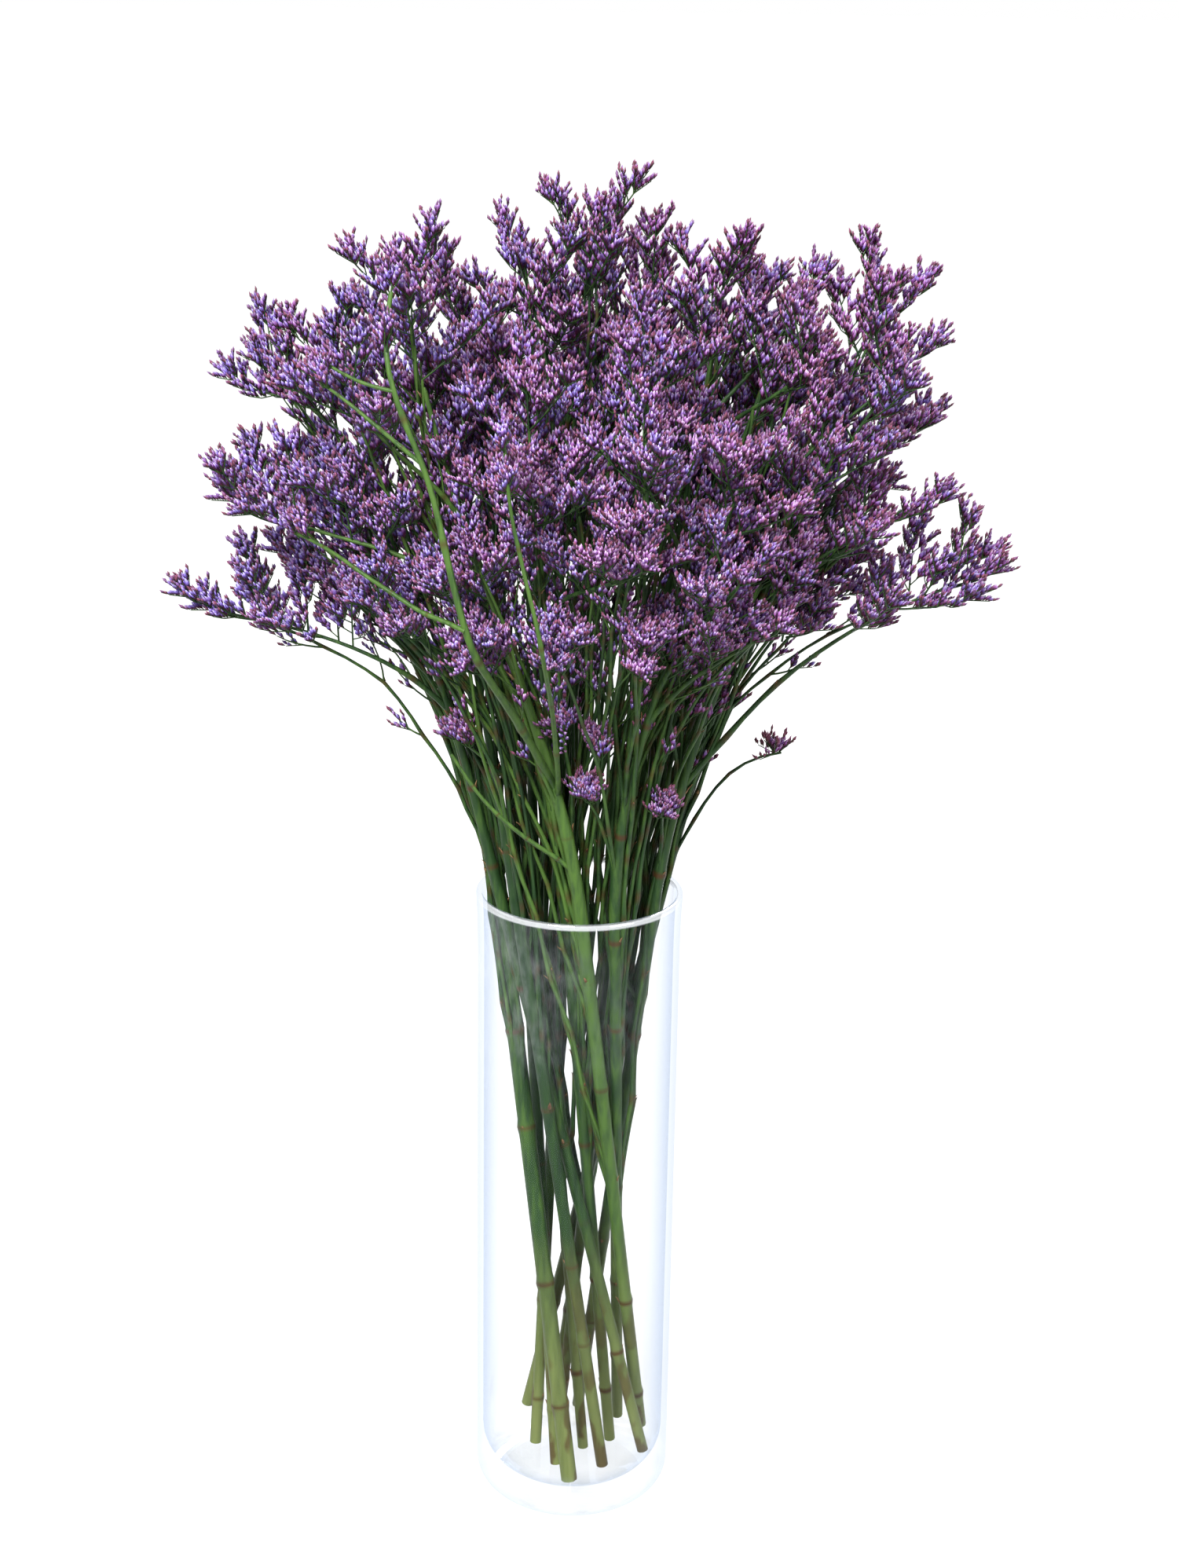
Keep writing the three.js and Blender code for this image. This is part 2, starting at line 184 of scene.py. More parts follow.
def tipDirection(tip, start):  # level at the bunch's sides, upright at its top
    g = growth
    out = tip - np.array([0, 0, vaseForm["height"]])
    steepness = math.atan2(out[2], math.hypot(out[0], out[1]))
    share = (steepness - g["lowSteepness"]) / (g["highSteepness"] - g["lowSteepness"])
    lift = min(max(blendTo(g["lowLift"], g["highLift"], share), g["lowLift"]), g["highestLift"])
    level = unit(np.array([tip[0] - start[0], tip[1] - start[1], 0]))
    return level * math.cos(lift) + upward * math.sin(lift)


def growthLine(start, leaving, tip, shift):
    g, reach = growth, np.linalg.norm(tip - start)
    return bentLine(start, start + leaving * g["leavingPull"] * reach + shift,
                    tip - tipDirection(tip, start) * g["arrivingPull"] * reach + shift, tip, g["branchSteps"])


def stemLine(row):
    rim = np.array([*row["rim"], vaseForm["height"]], float)
    foot = np.array([*row["foot"], vaseForm["floor"]], float)
    foot[2] = footHeight(foot, unit(rim - foot), row["radius"])
    tip = np.array(row["sprays"][0][:3], float)
    above = growthLine(rim, unit(rim - foot), tip, np.zeros(3))
    return evenLine(np.vstack([foot, above]), growth["stemSteps"]), np.linalg.norm(rim - foot)


def branchStart(main, highest, tip, length, startHeight):
    place = highest
    while place > 0:
        point = pointAt(main, place)
        farEnough = np.linalg.norm(point - tip) > length + growth["branchLead"]
        if (farEnough and point[2] < startHeight) or point[2] < growth["lowestBranch"]:
            return place
        place -= growth["startStep"]
    return 0


def branchLine(main, place, tip, bend):
    start = pointAt(main, place)
    toTip = unit(tip - start)
    shift = unit(np.cross(toTip, upward)) * bend
    leaving = unit(tangentAt(main, place) + toTip)
    return evenLine(growthLine(start, leaving, tip, shift), growth["branchSteps"])


def cadPoints(node):  # a CAD node's corners, in millimetres
    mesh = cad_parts[node].data
    found = np.zeros(len(mesh.vertices) * 3)
    mesh.vertices.foreach_get("co", found)
    return found.reshape(-1, 3) / metres


def nearest(points, place):
    return float(np.linalg.norm(points - place, axis=1).min())


def bendLikeCad(main, place, tip, length, corners):  # the bend whose line runs through the CAD's branch
    best = None
    for bend in growth["bends"]:
        line = branchLine(main, place, tip, bend)
        start = 1 - length / lineLength(line)
        miss = sum(nearest(corners, pointAt(line, start * k / 3)) for k in (1, 2, 3))
        if best is None or miss < best[0]:
            best = (miss, line, start)
    return best


def lobesAlong(line, start, order, corners):
    g = growth
    length = lineLength(line) * (1 - start)
    sideLobes = round(length / g["lobeSpacing"]) - 1
    lobes = []
    for i, along in enumerate(np.linspace(g["firstLobe"], g["lastSideLobe"], sideLobes)):
        share = start + (1 - start) * along
        tangent = tangentAt(line, share)
        side = rightOf(tangent)
        across = np.cross(tangent, side)
        around = (order + i) * g["goldenAngle"]
        spread = g["widestSpread"] - g["spreadLoss"] * along
        direction = unit(
            tangent * math.cos(spread)
            + side * math.sin(spread) * math.cos(around)
            + across * math.sin(spread) * math.sin(around)
            + upward * (g["lobeLift"] + g["levelLobeLift"] * (1 - tangent[2])))
        reach = g["lobeReach"] - g["reachLoss"] * along
        lobes.append(dict(root=pointAt(line, share), direction=direction, reach=reach))
    top = 1 - g["topLobeRoot"] / lineLength(line)
    lobes.append(dict(root=pointAt(line, top), direction=tangentAt(line, top), reach=g["topLobeReach"]))
    for lobe in lobes:  # each lobe gets the size that it has in the CAD
        misses = [nearest(corners, lobe["root"] + lobe["direction"] * lobe["reach"] * size)
                  for size in g["lobeSizes"]]
        best = int(np.argmin(misses))
        lobe["size"] = g["lobeSizes"][best] if misses[best] < g["sameLobe"] else 0
    return lobes


def layOutBunch():
    bunch = []
    order = 0
    for i, row in enumerate(stemRows):
        main, rimRun = stemLine(row)
        whole = lineLength(main)
        top, *others = row["sprays"]
        topStart = 1 - top[3] / whole
        corners = cadPoints(f"stem_{i + 1:02d}")
        sprays = [dict(line=main, start=topStart, place=None, miss=0, long=False)]
        for x, y, z, length, *startHeight in others:
            tip = np.array([x, y, z], float)
            highest = startHeight[0] if startHeight else z - growth["branchDrop"]
            place = branchStart(main, topStart - growth["belowTopSpray"], tip, length, highest)
            miss, line, start = bendLikeCad(main, place, tip, length, corners)
            sprays.append(dict(line=line, start=start, place=place, miss=miss, long=bool(startHeight)))
        for spray in sprays:
            spray["node"] = f"spray_{order + 1:02d}"
            spray["lobes"] = lobesAlong(spray["line"], spray["start"], order, cadPoints(spray["node"]))
            order += 1
        bunch.append(dict(row=row, main=main, rimShare=rimRun / whole, topStart=topStart, sprays=sprays))
    return bunch


bunch = layOutBunch()
allSprays = [spray for stem in bunch for spray in stem["sprays"]]
allLobes = [lobe for spray in allSprays for lobe in spray["lobes"]]
print("layout:", len(allLobes), "lobes,", sum(lobe["size"] == 0 for lobe in allLobes), "left out by the CAD,",
      "worst branch miss", round(max(spray["miss"] for spray in allSprays), 1), "mm")


# Finer branches that the CAD leaves out: small tufts in the gaps between its sprays, and low on the stems

fillForm = dict(
    centre=(0, 0, 430), count=50, candidates=9000, inner=0.6, outer=0.88, lowestLift=-0.15,
    tipPower=4, tipSoftness=0.08, undersideSlope=1.05, undersideGap=22, lowest=478,
    clearSide=13, clearTo=590, clearSteps=60,
    aboveRim=8, branchFrom=0.1, startTo=0.8, startSteps=40,
    mildAngle=math.radians(24), steepestAngle=math.radians(48), startHeight=372, heightCost=0.0012,
    drop=55, dropShare=0.7, arriveAt=0.99,
    lobes=5, reach=25, spread=math.radians(62), smallReach=15, smallSpread=math.radians(38), spreadSway=0.15,
    turn=2.4, turnSway=0.3, lowRoot=1.5, highRoot=0.8, sideReach=0.95, lift=0.6,
    filledAt=(0.4, 0.9), tuftFilledAt=0.7, seed=8)

# The low tufts are placed from the photo: tip's x, y and z, the number of lobes, their reach, how unripe.
lowTufts = (
    (8, -60, 419, 4, 10, 1), (-2, -60, 395, 4, 10, 1), (38, -50, 382, 4, 11, 1),
    (-61, -40, 416, 4, 10, 1), (97, -10, 400, 1, 5, 8), (-8, -62, 430, 3, 9, 1))


def startPlaces():  # everywhere that a finer branch may leave a stem or a branch
    f, places = fillForm, []
    for i, stem in enumerate(bunch):
        branches = [(stem["main"], 0)] + [(spray["line"], f["branchFrom"]) for spray in stem["sprays"][1:]]
        for line, first in branches:
            for share in np.linspace(first, f["startTo"], f["startSteps"]):
                if pointAt(line, share)[2] > vaseForm["height"] + f["aboveRim"]:
                    places.append((i, line, share))
    points = np.array([pointAt(line, share) for i, line, share in places])
    tangents = np.array([tangentAt(line, share) for i, line, share in places])
    return places, points, tangents


def tuftAt(tip, lobes, reach, young, starts, dice):  # a tuft on the branch that reaches it best, or nothing
    f, (places, points, tangents) = fillForm, starts
    run = tip - points
    angle = np.arccos(np.clip((run * tangents).sum(1) / np.linalg.norm(run, axis=1), -1, 1))
    cost = np.abs(angle - f["mildAngle"]) + np.abs(points[:, 2] - f["startHeight"]) * f["heightCost"]
    drop = min(f["drop"], (tip[2] - vaseForm["height"]) * f["dropShare"])
    cost[(run[:, 2] < drop) | (angle > f["steepestAngle"])] = math.inf
    if cost.min() == math.inf:
        return None
    i, line, share = places[int(cost.argmin())]
    branch = branchLine(line, share, tip, 0)
    whole, arriving = lineLength(branch), tangentAt(branch, f["arriveAt"])
    grown = [dict(root=pointAt(branch, 1 - reach / whole), direction=arriving, reach=reach)]
    spread = f["spread"] if reach > f["smallReach"] else f["smallSpread"]
    for k in range(1, lobes):
        root = pointAt(branch, 1 - reach * blendTo(f["lowRoot"], f["highRoot"], k / lobes) / whole)
        opening = spread + dice.uniform(-f["spreadSway"], f["spreadSway"])
        opened = fanOut(arriving, opening, k * f["turn"] + dice.uniform(-f["turnSway"], f["turnSway"]))
        direction = unit(opened + upward * f["lift"])
        grown.append(dict(root=root, direction=direction, reach=reach * f["sideReach"]))
    return dict(stem=i, line=branch, lobes=grown, young=young)


def candidatePlaces(dice):  # places inside the flower head, above the underside that the photo shows
    f = fillForm

    def draws(low, high):
        return np.array([dice.uniform(low, high) for k in range(f["candidates"])])

    centre = np.array(f["centre"], float)
    tips = np.array([spray["line"][-1] for spray in allSprays]) - centre
    radii = np.linalg.norm(tips, axis=1)
    around = draws(0, math.tau)
    lift = np.arcsin(draws(f["lowestLift"], 1))
    aims = np.column_stack([np.cos(lift) * np.cos(around), np.cos(lift) * np.sin(around), np.sin(lift)])
    angles = np.arccos(np.clip(aims @ (tips / radii[:, None]).T, -1, 1))
    weights = 1 / (angles + f["tipSoftness"]) ** f["tipPower"]
    reach = (weights @ radii) / weights.sum(1)
    reach *= draws(f["inner"], f["outer"])
    found = centre + aims * reach[:, None]
    out = np.hypot(found[:, 0], found[:, 1])
    underside = vaseForm["height"] + f["undersideSlope"] * out + f["undersideGap"]
    front = evenLine(bunch[0]["main"], f["clearSteps"])  # the stem in front stays in sight
    beside = np.abs(found[:, 0] - np.interp(found[:, 2], front[:, 2], front[:, 0])) > f["clearSide"]
    behind = found[:, 1] > np.interp(found[:, 2], front[:, 2], front[:, 1]) + f["clearSide"]
    clear = beside | behind | (found[:, 2] > f["clearTo"])
    return found[clear & (found[:, 2] > np.maximum(underside, f["lowest"]))]


def layOutTufts():
    f, dice = fillForm, random.Random(fillForm["seed"])
    starts = startPlaces()
    found = [tuftAt(np.array([x, y, z], float), lobes, reach, young, starts, dice)
             for x, y, z, lobes, reach, young in lowTufts]
    free = candidatePlaces(dice)
    gaps = np.full(len(free), math.inf)

    def take(place):
        np.minimum(gaps, np.linalg.norm(free - place, axis=1), out=gaps)

    for lobe in allLobes:
        for share in f["filledAt"]:
            if lobe["size"]:
                take(lobe["root"] + lobe["direction"] * lobe["reach"] * lobe["size"] * share)
    for k in range(f["count"]):
        widest = free[int(gaps.argmax())]
        take(widest)
        tuft = tuftAt(widest, f["lobes"], f["reach"], 1, starts, dice)
        if tuft:
            found.append(tuft)
            for lobe in tuft["lobes"]:
                take(lobe["root"] + lobe["direction"] * lobe["reach"] * f["tuftFilledAt"])
    return found


tufts = layOutTufts()
print("tufts:", len(tufts))


# Building blocks for node trees

def socketOf(node, name):
    return next((s for s in node.inputs if s.name == name and s.enabled), None) or next(
        s for s in node.inputs if s.identifier == name)


def setInputs(tree, node, inputs):  # a socket is linked, and anything else is the socket's own value
    for key, value in inputs.items():
        socket = node.inputs[key] if isinstance(key, int) else socketOf(node, key)
        if isinstance(value, bpy.types.NodeSocket):
            tree.links.new(value, socket)
        elif socket.type == "RGBA":
            socket.default_value = (*value[:3], 1)
        else:
            socket.default_value = value


def addNode(tree, kind, inputs=None, **settings):
    node = tree.nodes.new(kind)
    for key, value in settings.items():
        setattr(node, key, value)
    setInputs(tree, node, inputs or {})
    return node


def made(tree, kind, inputs=None, output=0, **settings):  # a new node's result
    return addNode(tree, kind, inputs, **settings).outputs[output]


def maths(tree, operation, a, b):
    return made(tree, "ShaderNodeMath", {0: a, 1: b}, operation=operation)


def plus(tree, a, b):
    return maths(tree, "ADD", a, b)


def times(tree, a, b):
    return maths(tree, "MULTIPLY", a, b)


def vectorMaths(tree, operation, inputs):
    return made(tree, "ShaderNodeVectorMath", inputs, operation=operation)


def vectorSum(tree, *vectors):
    total = vectors[0]
    for vector in vectors[1:]:
        total = vectorMaths(tree, "ADD", {0: total, 1: vector})
    return total


def scaled(tree, vector, factor):
    return vectorMaths(tree, "SCALE", {0: vector, "Scale": factor})


def randomBetween(tree, ends, seed):
    return made(tree, "FunctionNodeRandomValue", {"Min": ends[0], "Max": ends[1], "Seed": seed}, 1,
                data_type="FLOAT")


def named(tree, name, kind="FLOAT"):
    return made(tree, "GeometryNodeInputNamedAttribute", {"Name": name}, data_type=kind)


def store(tree, instances, name, value):  # a value for each instance
    inputs = {"Geometry": instances, "Name": name, "Value": value}
    return made(tree, "GeometryNodeStoreNamedAttribute", inputs, data_type="FLOAT", domain="INSTANCE")


def newTree(name, sockets):
    tree = bpy.data.node_groups.new(name, "GeometryNodeTree")
    tree.interface.new_socket("Geometry", in_out="OUTPUT", socket_type="NodeSocketGeometry")
    for label, kind in {"Geometry": "Geometry", **sockets, "Material": "Material"}.items():
        tree.interface.new_socket(label, in_out="INPUT", socket_type="NodeSocket" + kind)
    return tree, tree.nodes.new("NodeGroupInput").outputs


def endTree(tree, geometry, material):  # every tree ends in real geometry with its material
    smooth = made(tree, "GeometryNodeSetShadeSmooth", {"Geometry": geometry})
    real = made(tree, "GeometryNodeRealizeInstances", {"Geometry": smooth})
    finished = made(tree, "GeometryNodeSetMaterial", {"Geometry": real, "Material": material})
    addNode(tree, "NodeGroupOutput", {0: finished})


def addObject(name, data):
    added = bpy.data.objects.new(name, data)
    bpy.context.scene.collection.objects.link(added)
    return added


def setValues(mesh, name, values):  # one number or one vector for each point
    values = np.asarray(values, np.float32)
    kind, field = ("FLOAT_VECTOR", "vector") if values.ndim == 2 else ("FLOAT", "value")
    mesh.attributes.new(name, kind, "POINT").data.foreach_set(field, values.ravel())


def linesObject(name, lines):  # lines with a row of values for each point: the trees' raw material
    mesh = bpy.data.meshes.new(name)
    edges, first = [], 0
    for line in lines:
        after = first + len(line["points"])
        edges.append(np.column_stack([np.arange(first, after - 1), np.arange(first + 1, after)]))
        first = after
    points = np.vstack([line["points"] for line in lines]) * metres
    mesh.from_pydata(points.tolist(), np.vstack(edges).tolist(), [])
    for key in lines[0]:
        if key != "points":
            setValues(mesh, key, np.concatenate([line[key] for line in lines]))
    return addObject(name, mesh)


def runTree(source, tree, values, name):  # a plain mesh piece from a tree, with nothing live left on it
    modifier = source.modifiers.new(tree.name, "NODES")
    modifier.node_group = tree
    for item in tree.interface.items_tree:
        if item.in_out == "INPUT" and item.name in values:
            modifier[item.identifier] = values[item.name]
    evaluated = source.evaluated_get(bpy.context.evaluated_depsgraph_get())
    mesh = bpy.data.meshes.new_from_object(evaluated)
    mesh.name = name
    source.modifiers.remove(modifier)
    bpy.data.objects.remove(source)
    return addObject(name, mesh)


def triangles(*pieces):
    return sum(len(face.vertices) - 2 for piece in pieces for face in piece.data.polygons)


# Materials

def emptyTree(owner):
    owner.use_nodes = True
    owner.node_tree.nodes.clear()
    return owner.node_tree


def newMaterial(name):
    material = bpy.data.materials.new(name)
    tree = emptyTree(material)
    shader = addNode(tree, "ShaderNodeBsdfPrincipled")
    addNode(tree, "ShaderNodeOutputMaterial", {"Surface": shader.outputs[0]})
    return material, tree, shader


def ramp(tree, factor, places, colours):
    node = addNode(tree, "ShaderNodeValToRGB", {"Fac": factor})
    elements = node.color_ramp.elements
    while len(elements) < len(places):
        elements.new(0.5)
    for element, place, colour in zip(elements, places, colours):
        element.position = place
        element.color = (*colour, 1)
    return node.outputs[0]


def mixed(tree, factor, first, second):
    return made(tree, "ShaderNodeMix", {"Factor": factor, "A_Color": first, "B_Color": second}, 2,
                data_type="RGBA")


def attribute(tree, name):
    return made(tree, "ShaderNodeAttribute", output="Fac", attribute_name=name)


def objectPlace(tree):
    return made(tree, "ShaderNodeTexCoord", output="Object")


def objectNoise(tree, scale, detail=2, stretch=1.0):  # stretch: the pattern's scale along Z beside the others
    moved = made(tree, "ShaderNodeMapping", {"Vector": objectPlace(tree), "Scale": (1, 1, stretch)})
    return made(tree, "ShaderNodeTexNoise", {"Vector": moved, "Scale": scale, "Detail": detail})


def rescaled(tree, value, low, high, newLow=0, newHigh=1):
    return made(tree, "ShaderNodeMapRange", {
        "Value": value, "From Min": low, "From Max": high, "To Min": newLow, "To Max": newHigh})


def bump(tree, height, strength, depth):
    return made(tree, "ShaderNodeBump", {"Height": height, "Strength": strength, "Distance": depth})


floretFinish = dict(
    base=(0.085, 0.11, 0.028), bract=(0.19, 0.022, 0.07),
    violetDeep=(0.10, 0.05, 0.25), violet=(0.23, 0.16, 0.56), violetTip=(0.66, 0.64, 0.90),
    magentaDeep=(0.19, 0.032, 0.17), magenta=(0.40, 0.165, 0.47), magentaTip=(0.80, 0.62, 0.82),
    youngBase=(0.08, 0.10, 0.03), young=(0.17, 0.055, 0.08), youngTip=(0.30, 0.07, 0.17),
    stops=(0.1, 0.34, 0.5, 0.74, 0.96), youngStops=(0.1, 0.6, 1.0),
    patchScale=26, patchSpan=(0.35, 0.65), patchShare=0.45, ownShare=0.5,
    toneScale=900, toneSpan=(0.3, 0.7), darkest=0.75, lightest=1.3,
    smoothest=0.55, roughest=0.8, specular=0.3, sheen=0.08, sheenTint=(0.8, 0.7, 1),
    grainScale=2500, grainStrength=0.5, grainDepth=0.0002)


def floretMaterial():  # green at the root, then a dark red bract, violet or magenta, and a pale tip
    f = floretFinish
    material, tree, shader = newMaterial("papery_violet")
    along, shade = attribute(tree, "budAlong"), attribute(tree, "budShade")

    def coloured(stops, *names):
        return ramp(tree, along, f[stops], [f[name] for name in names])

    violet = coloured("stops", "base", "bract", "violetDeep", "violet", "violetTip")
    magenta = coloured("stops", "base", "bract", "magentaDeep", "magenta", "magentaTip")
    young = coloured("youngStops", "youngBase", "young", "youngTip")
    patch = objectNoise(tree, f["patchScale"])
    patch = rescaled(tree, patch, *f["patchSpan"], -f["patchShare"], f["patchShare"])
    own = rescaled(tree, shade, 0, 1, -f["ownShare"], f["ownShare"])
    warm = plus(tree, attribute(tree, "hue"), plus(tree, patch, own))
    colour = mixed(tree, made(tree, "ShaderNodeClamp", {"Value": warm}), violet, magenta)
    colour = mixed(tree, attribute(tree, "budYoung"), colour, young)
    tone = rescaled(tree, objectNoise(tree, f["toneScale"], 1), *f["toneSpan"], f["darkest"], f["lightest"])
    setInputs(tree, shader, {
        "Base Color": made(tree, "ShaderNodeHueSaturation", {"Color": colour, "Value": tone}),
        "Roughness": rescaled(tree, shade, 0, 1, f["smoothest"], f["roughest"]),
        "Specular IOR Level": f["specular"], "Sheen Weight": f["sheen"], "Sheen Tint": f["sheenTint"],
        "Normal": bump(tree, objectNoise(tree, f["grainScale"]), f["grainStrength"], f["grainDepth"])})
    return material


stemFinish = dict(
    dark=(0.010, 0.030, 0.013), green=(0.028, 0.070, 0.020), light=(0.09, 0.18, 0.035),
    stops=(0.35, 0.66, 1.05), pale=(0.13, 0.18, 0.042), cut=(0.30, 0.33, 0.12),
    brown=(0.11, 0.045, 0.014), brownDark=(0.04, 0.018, 0.009),
    streakScale=350, streakStretch=0.12, streakSpan=(0.3, 0.7), streakShare=0.9, freshShare=0.55,
    mottleScale=70, mottleStretch=0.45, mottleSpan=(0.5, 0.56), mottleShare=0.85,
    knotSpan=(0.35, 0.7), knotShare=0.9,
    smoothest=0.32, roughest=0.55, specular=0.22, grainScale=1500, grainStretch=0.6, grainShare=0.5,
    bumpStrength=0.6, bumpDepth=0.0005)


def stemMaterial():  # streaked green, paler with brown patches near the cut foot, brown at the knots
    f = stemFinish
    material, tree, shader = newMaterial("dry_green_stem")
    streak = objectNoise(tree, f["streakScale"], 3, f["streakStretch"])
    mottle = objectNoise(tree, f["mottleScale"], 3, f["mottleStretch"])
    cut, fresh = attribute(tree, "cut"), attribute(tree, "fresh")
    tone = plus(tree, times(tree, streak, f["streakShare"]), times(tree, fresh, f["freshShare"]))
    green = ramp(tree, tone, f["stops"], (f["dark"], f["green"], f["light"]))
    green = mixed(tree, cut, green, mixed(tree, streak, f["pale"], f["cut"]))
    patches = times(tree, rescaled(tree, mottle, *f["mottleSpan"]), cut)
    knotted = rescaled(tree, attribute(tree, "brown"), *f["knotSpan"], 0, f["knotShare"])
    browned = maths(tree, "MAXIMUM", knotted, times(tree, patches, f["mottleShare"]))
    grain = objectNoise(tree, f["grainScale"], 2, f["grainStretch"])
    relief = plus(tree, streak, times(tree, grain, f["grainShare"]))
    setInputs(tree, shader, {
        "Base Color": mixed(tree, browned, green, mixed(tree, streak, f["brownDark"], f["brown"])),
        "Roughness": rescaled(tree, streak, *f["streakSpan"], f["smoothest"], f["roughest"]),
        "Specular IOR Level": f["specular"],
        "Normal": bump(tree, relief, f["bumpStrength"], f["bumpDepth"])})
    return material


scaleFinish = dict(
    stops=(0.3, 0.5, 0.7), colours=((0.10, 0.042, 0.02), (0.24, 0.12, 0.05), (0.42, 0.27, 0.13)),
    streakScale=600, streakStretch=0.2, streakSpan=(0.3, 0.7), smoothest=0.6, roughest=0.85,
    bumpStrength=0.5, bumpDepth=0.0003)


def scaleMaterial():
    f = scaleFinish
    material, tree, shader = newMaterial("papery_brown_scale")
    streak = objectNoise(tree, f["streakScale"], 3, f["streakStretch"])
    setInputs(tree, shader, {
        "Base Color": ramp(tree, streak, f["stops"], f["colours"]),
        "Roughness": rescaled(tree, streak, *f["streakSpan"], f["smoothest"], f["roughest"]),
        "Normal": bump(tree, streak, f["bumpStrength"], f["bumpDepth"])})
    return material


glassFinish = dict(
    clear=(0.992, 0.995, 0.998), edge=(0.83, 0.865, 0.925), edgeStops=(0.35, 0.95),
    mirror=(0.66, 0.73, 0.81), roughness=0.03, glossHead=0.004, glossEdge=0.45, glossPower=4,
    # the rim's values paint a white highlight along the front of the lip
    rimHighlightColour=(0.95, 0.97, 1.0), rimFrom=0.3228, rimHighlightSoftness=0.0008, rimHighlightFacing=(0.45, 0.95), rimShare=0.62,
    baseBelow=0.026, baseScale=30, baseStretch=2.5, baseSpan=(0.4, 0.65), baseLeast=0.06, baseShare=0.26,
    hazeFrom=0.17, hazeScale=13, hazeSpan=(0.42, 0.68), hazeShare=0.17, hazeGrain=260, hazeStretch=0.5,
    grainSpan=(0.4, 0.65), grainLeast=0.15, hazeSide=0.03, hazeRight=0.3, hazeFull=0.05, hazeWhite=0.6)


def glassMaterial():  # clear, with a pale mirror that grows to the edges and lies on the thick floor; on the rim's front a whiter mirror is a painted highlight
    f = glassFinish
    material, tree, shader = newMaterial("clear_glass")
    place = addNode(tree, "ShaderNodeSeparateXYZ", {0: objectPlace(tree)}).outputs
    facing = made(tree, "ShaderNodeLayerWeight", {"Blend": 0.5}, "Facing")
    steep = maths(tree, "POWER", facing, f["glossPower"])
    gloss = rescaled(tree, steep, 0, 1, f["glossHead"], f["glossEdge"])
    # painted highlight: the top of the lip, where it faces the eye, gets a large share of white mirror
    rim = rescaled(tree, place["Z"], f["rimFrom"], f["rimFrom"] + f["rimHighlightSoftness"])
    rim = times(tree, rim, rescaled(tree, facing, *f["rimHighlightFacing"], 1, 0))
    swirl = objectNoise(tree, f["baseScale"], 4, f["baseStretch"])
    swirl = rescaled(tree, swirl, *f["baseSpan"], f["baseLeast"], f["baseShare"])
    base = times(tree, swirl, rescaled(tree, place["Z"], 0, f["baseBelow"], 1, 0))
    blotch = rescaled(tree, objectNoise(tree, f["hazeScale"], 3), *f["hazeSpan"], 0, f["hazeShare"])
    grain = objectNoise(tree, f["hazeGrain"], 5, f["hazeStretch"])
    grain = rescaled(tree, grain, *f["grainSpan"], f["grainLeast"])
    haze = times(tree, times(tree, blotch, grain), rescaled(tree, place["Z"], f["hazeFrom"], f["rimFrom"]))
    haze = times(tree, haze, rescaled(tree, place["X"], -f["hazeSide"], f["hazeSide"], 1, f["hazeRight"]))
    share = maths(tree, "MAXIMUM", gloss, times(tree, rim, f["rimShare"]))
    share = plus(tree, share, plus(tree, base, haze))
    # the mirror turns white under the painted rim highlight and under the haze
    white = maths(tree, "MAXIMUM", rim, rescaled(tree, haze, 0, f["hazeFull"], 0, f["hazeWhite"]))
    mirror = mixed(tree, white, f["mirror"], f["rimHighlightColour"])
    setInputs(tree, shader, {"Base Color": mirror, "Metallic": 1, "Roughness": f["roughness"]})
    tint = ramp(tree, facing, f["edgeStops"], (f["clear"], f["edge"]))
    clear = made(tree, "ShaderNodeBsdfTransparent", {"Color": tint})
    both = made(tree, "ShaderNodeMixShader", {0: share, 1: clear, 2: shader.outputs[0]})
    plain = made(tree, "ShaderNodeBsdfTransparent", {"Color": f["clear"]})
    shadow = made(tree, "ShaderNodeLightPath", output="Is Shadow Ray")
    output = next(node for node in tree.nodes if node.type == "OUTPUT_MATERIAL")
    setInputs(tree, output, {"Surface": made(tree, "ShaderNodeMixShader", {0: shadow, 1: both, 2: plain})})
    return material


florets, stemGreen = floretMaterial(), stemMaterial()
scaleBrown, clearGlass = scaleMaterial(), glassMaterial()
print("materials made")


# Vase: a turned glass cylinder with a thick floor and a rounded rim

def meshFrom(sculpt, name):  # a plain mesh with its faces pointing out
    bmesh.ops.recalc_face_normals(sculpt, faces=sculpt.faces)
    mesh = bpy.data.meshes.new(name)
    sculpt.to_mesh(mesh)
    sculpt.free()
    return mesh


def arc(centreX, centreZ, radius, start, end, steps):
    return [(centreX + radius * math.cos(angle), centreZ + radius * math.sin(angle))
            for angle in np.linspace(start, end, steps + 1)]


def vaseProfile():  # radius and height, from the middle of the underside to the middle of the floor
    v = vaseForm
    outer, inner, lip, quarter = v["radius"], v["radius"] - v["wall"], v["wall"] / 2, math.pi / 2
    low, high, steps = v["outerCorner"], v["innerCorner"], v["cornerSteps"]
    walls = np.linspace(v["wallFrom"], v["height"] - v["wallBelowRim"], v["wallRings"])
    flare, flareFrom = v["rimFlare"] * v["flareStart"], v["height"] - v["flareBelowRim"]
    return (
        [(0, 0)]
        + arc(outer - low, low, low, -quarter, 0, steps)
        + [(outer, z) for z in walls] + [(outer + flare, flareFrom)]
        + arc(inner + lip + v["rimFlare"], v["height"] - lip, lip, 0, 2 * quarter, v["lipSteps"])
        + [(inner + flare, flareFrom)] + [(inner, z) for z in walls[::-1]]
        + arc(inner - high, v["floor"] + high, high, 0, -quarter, steps)
        + [(0, v["floor"])])


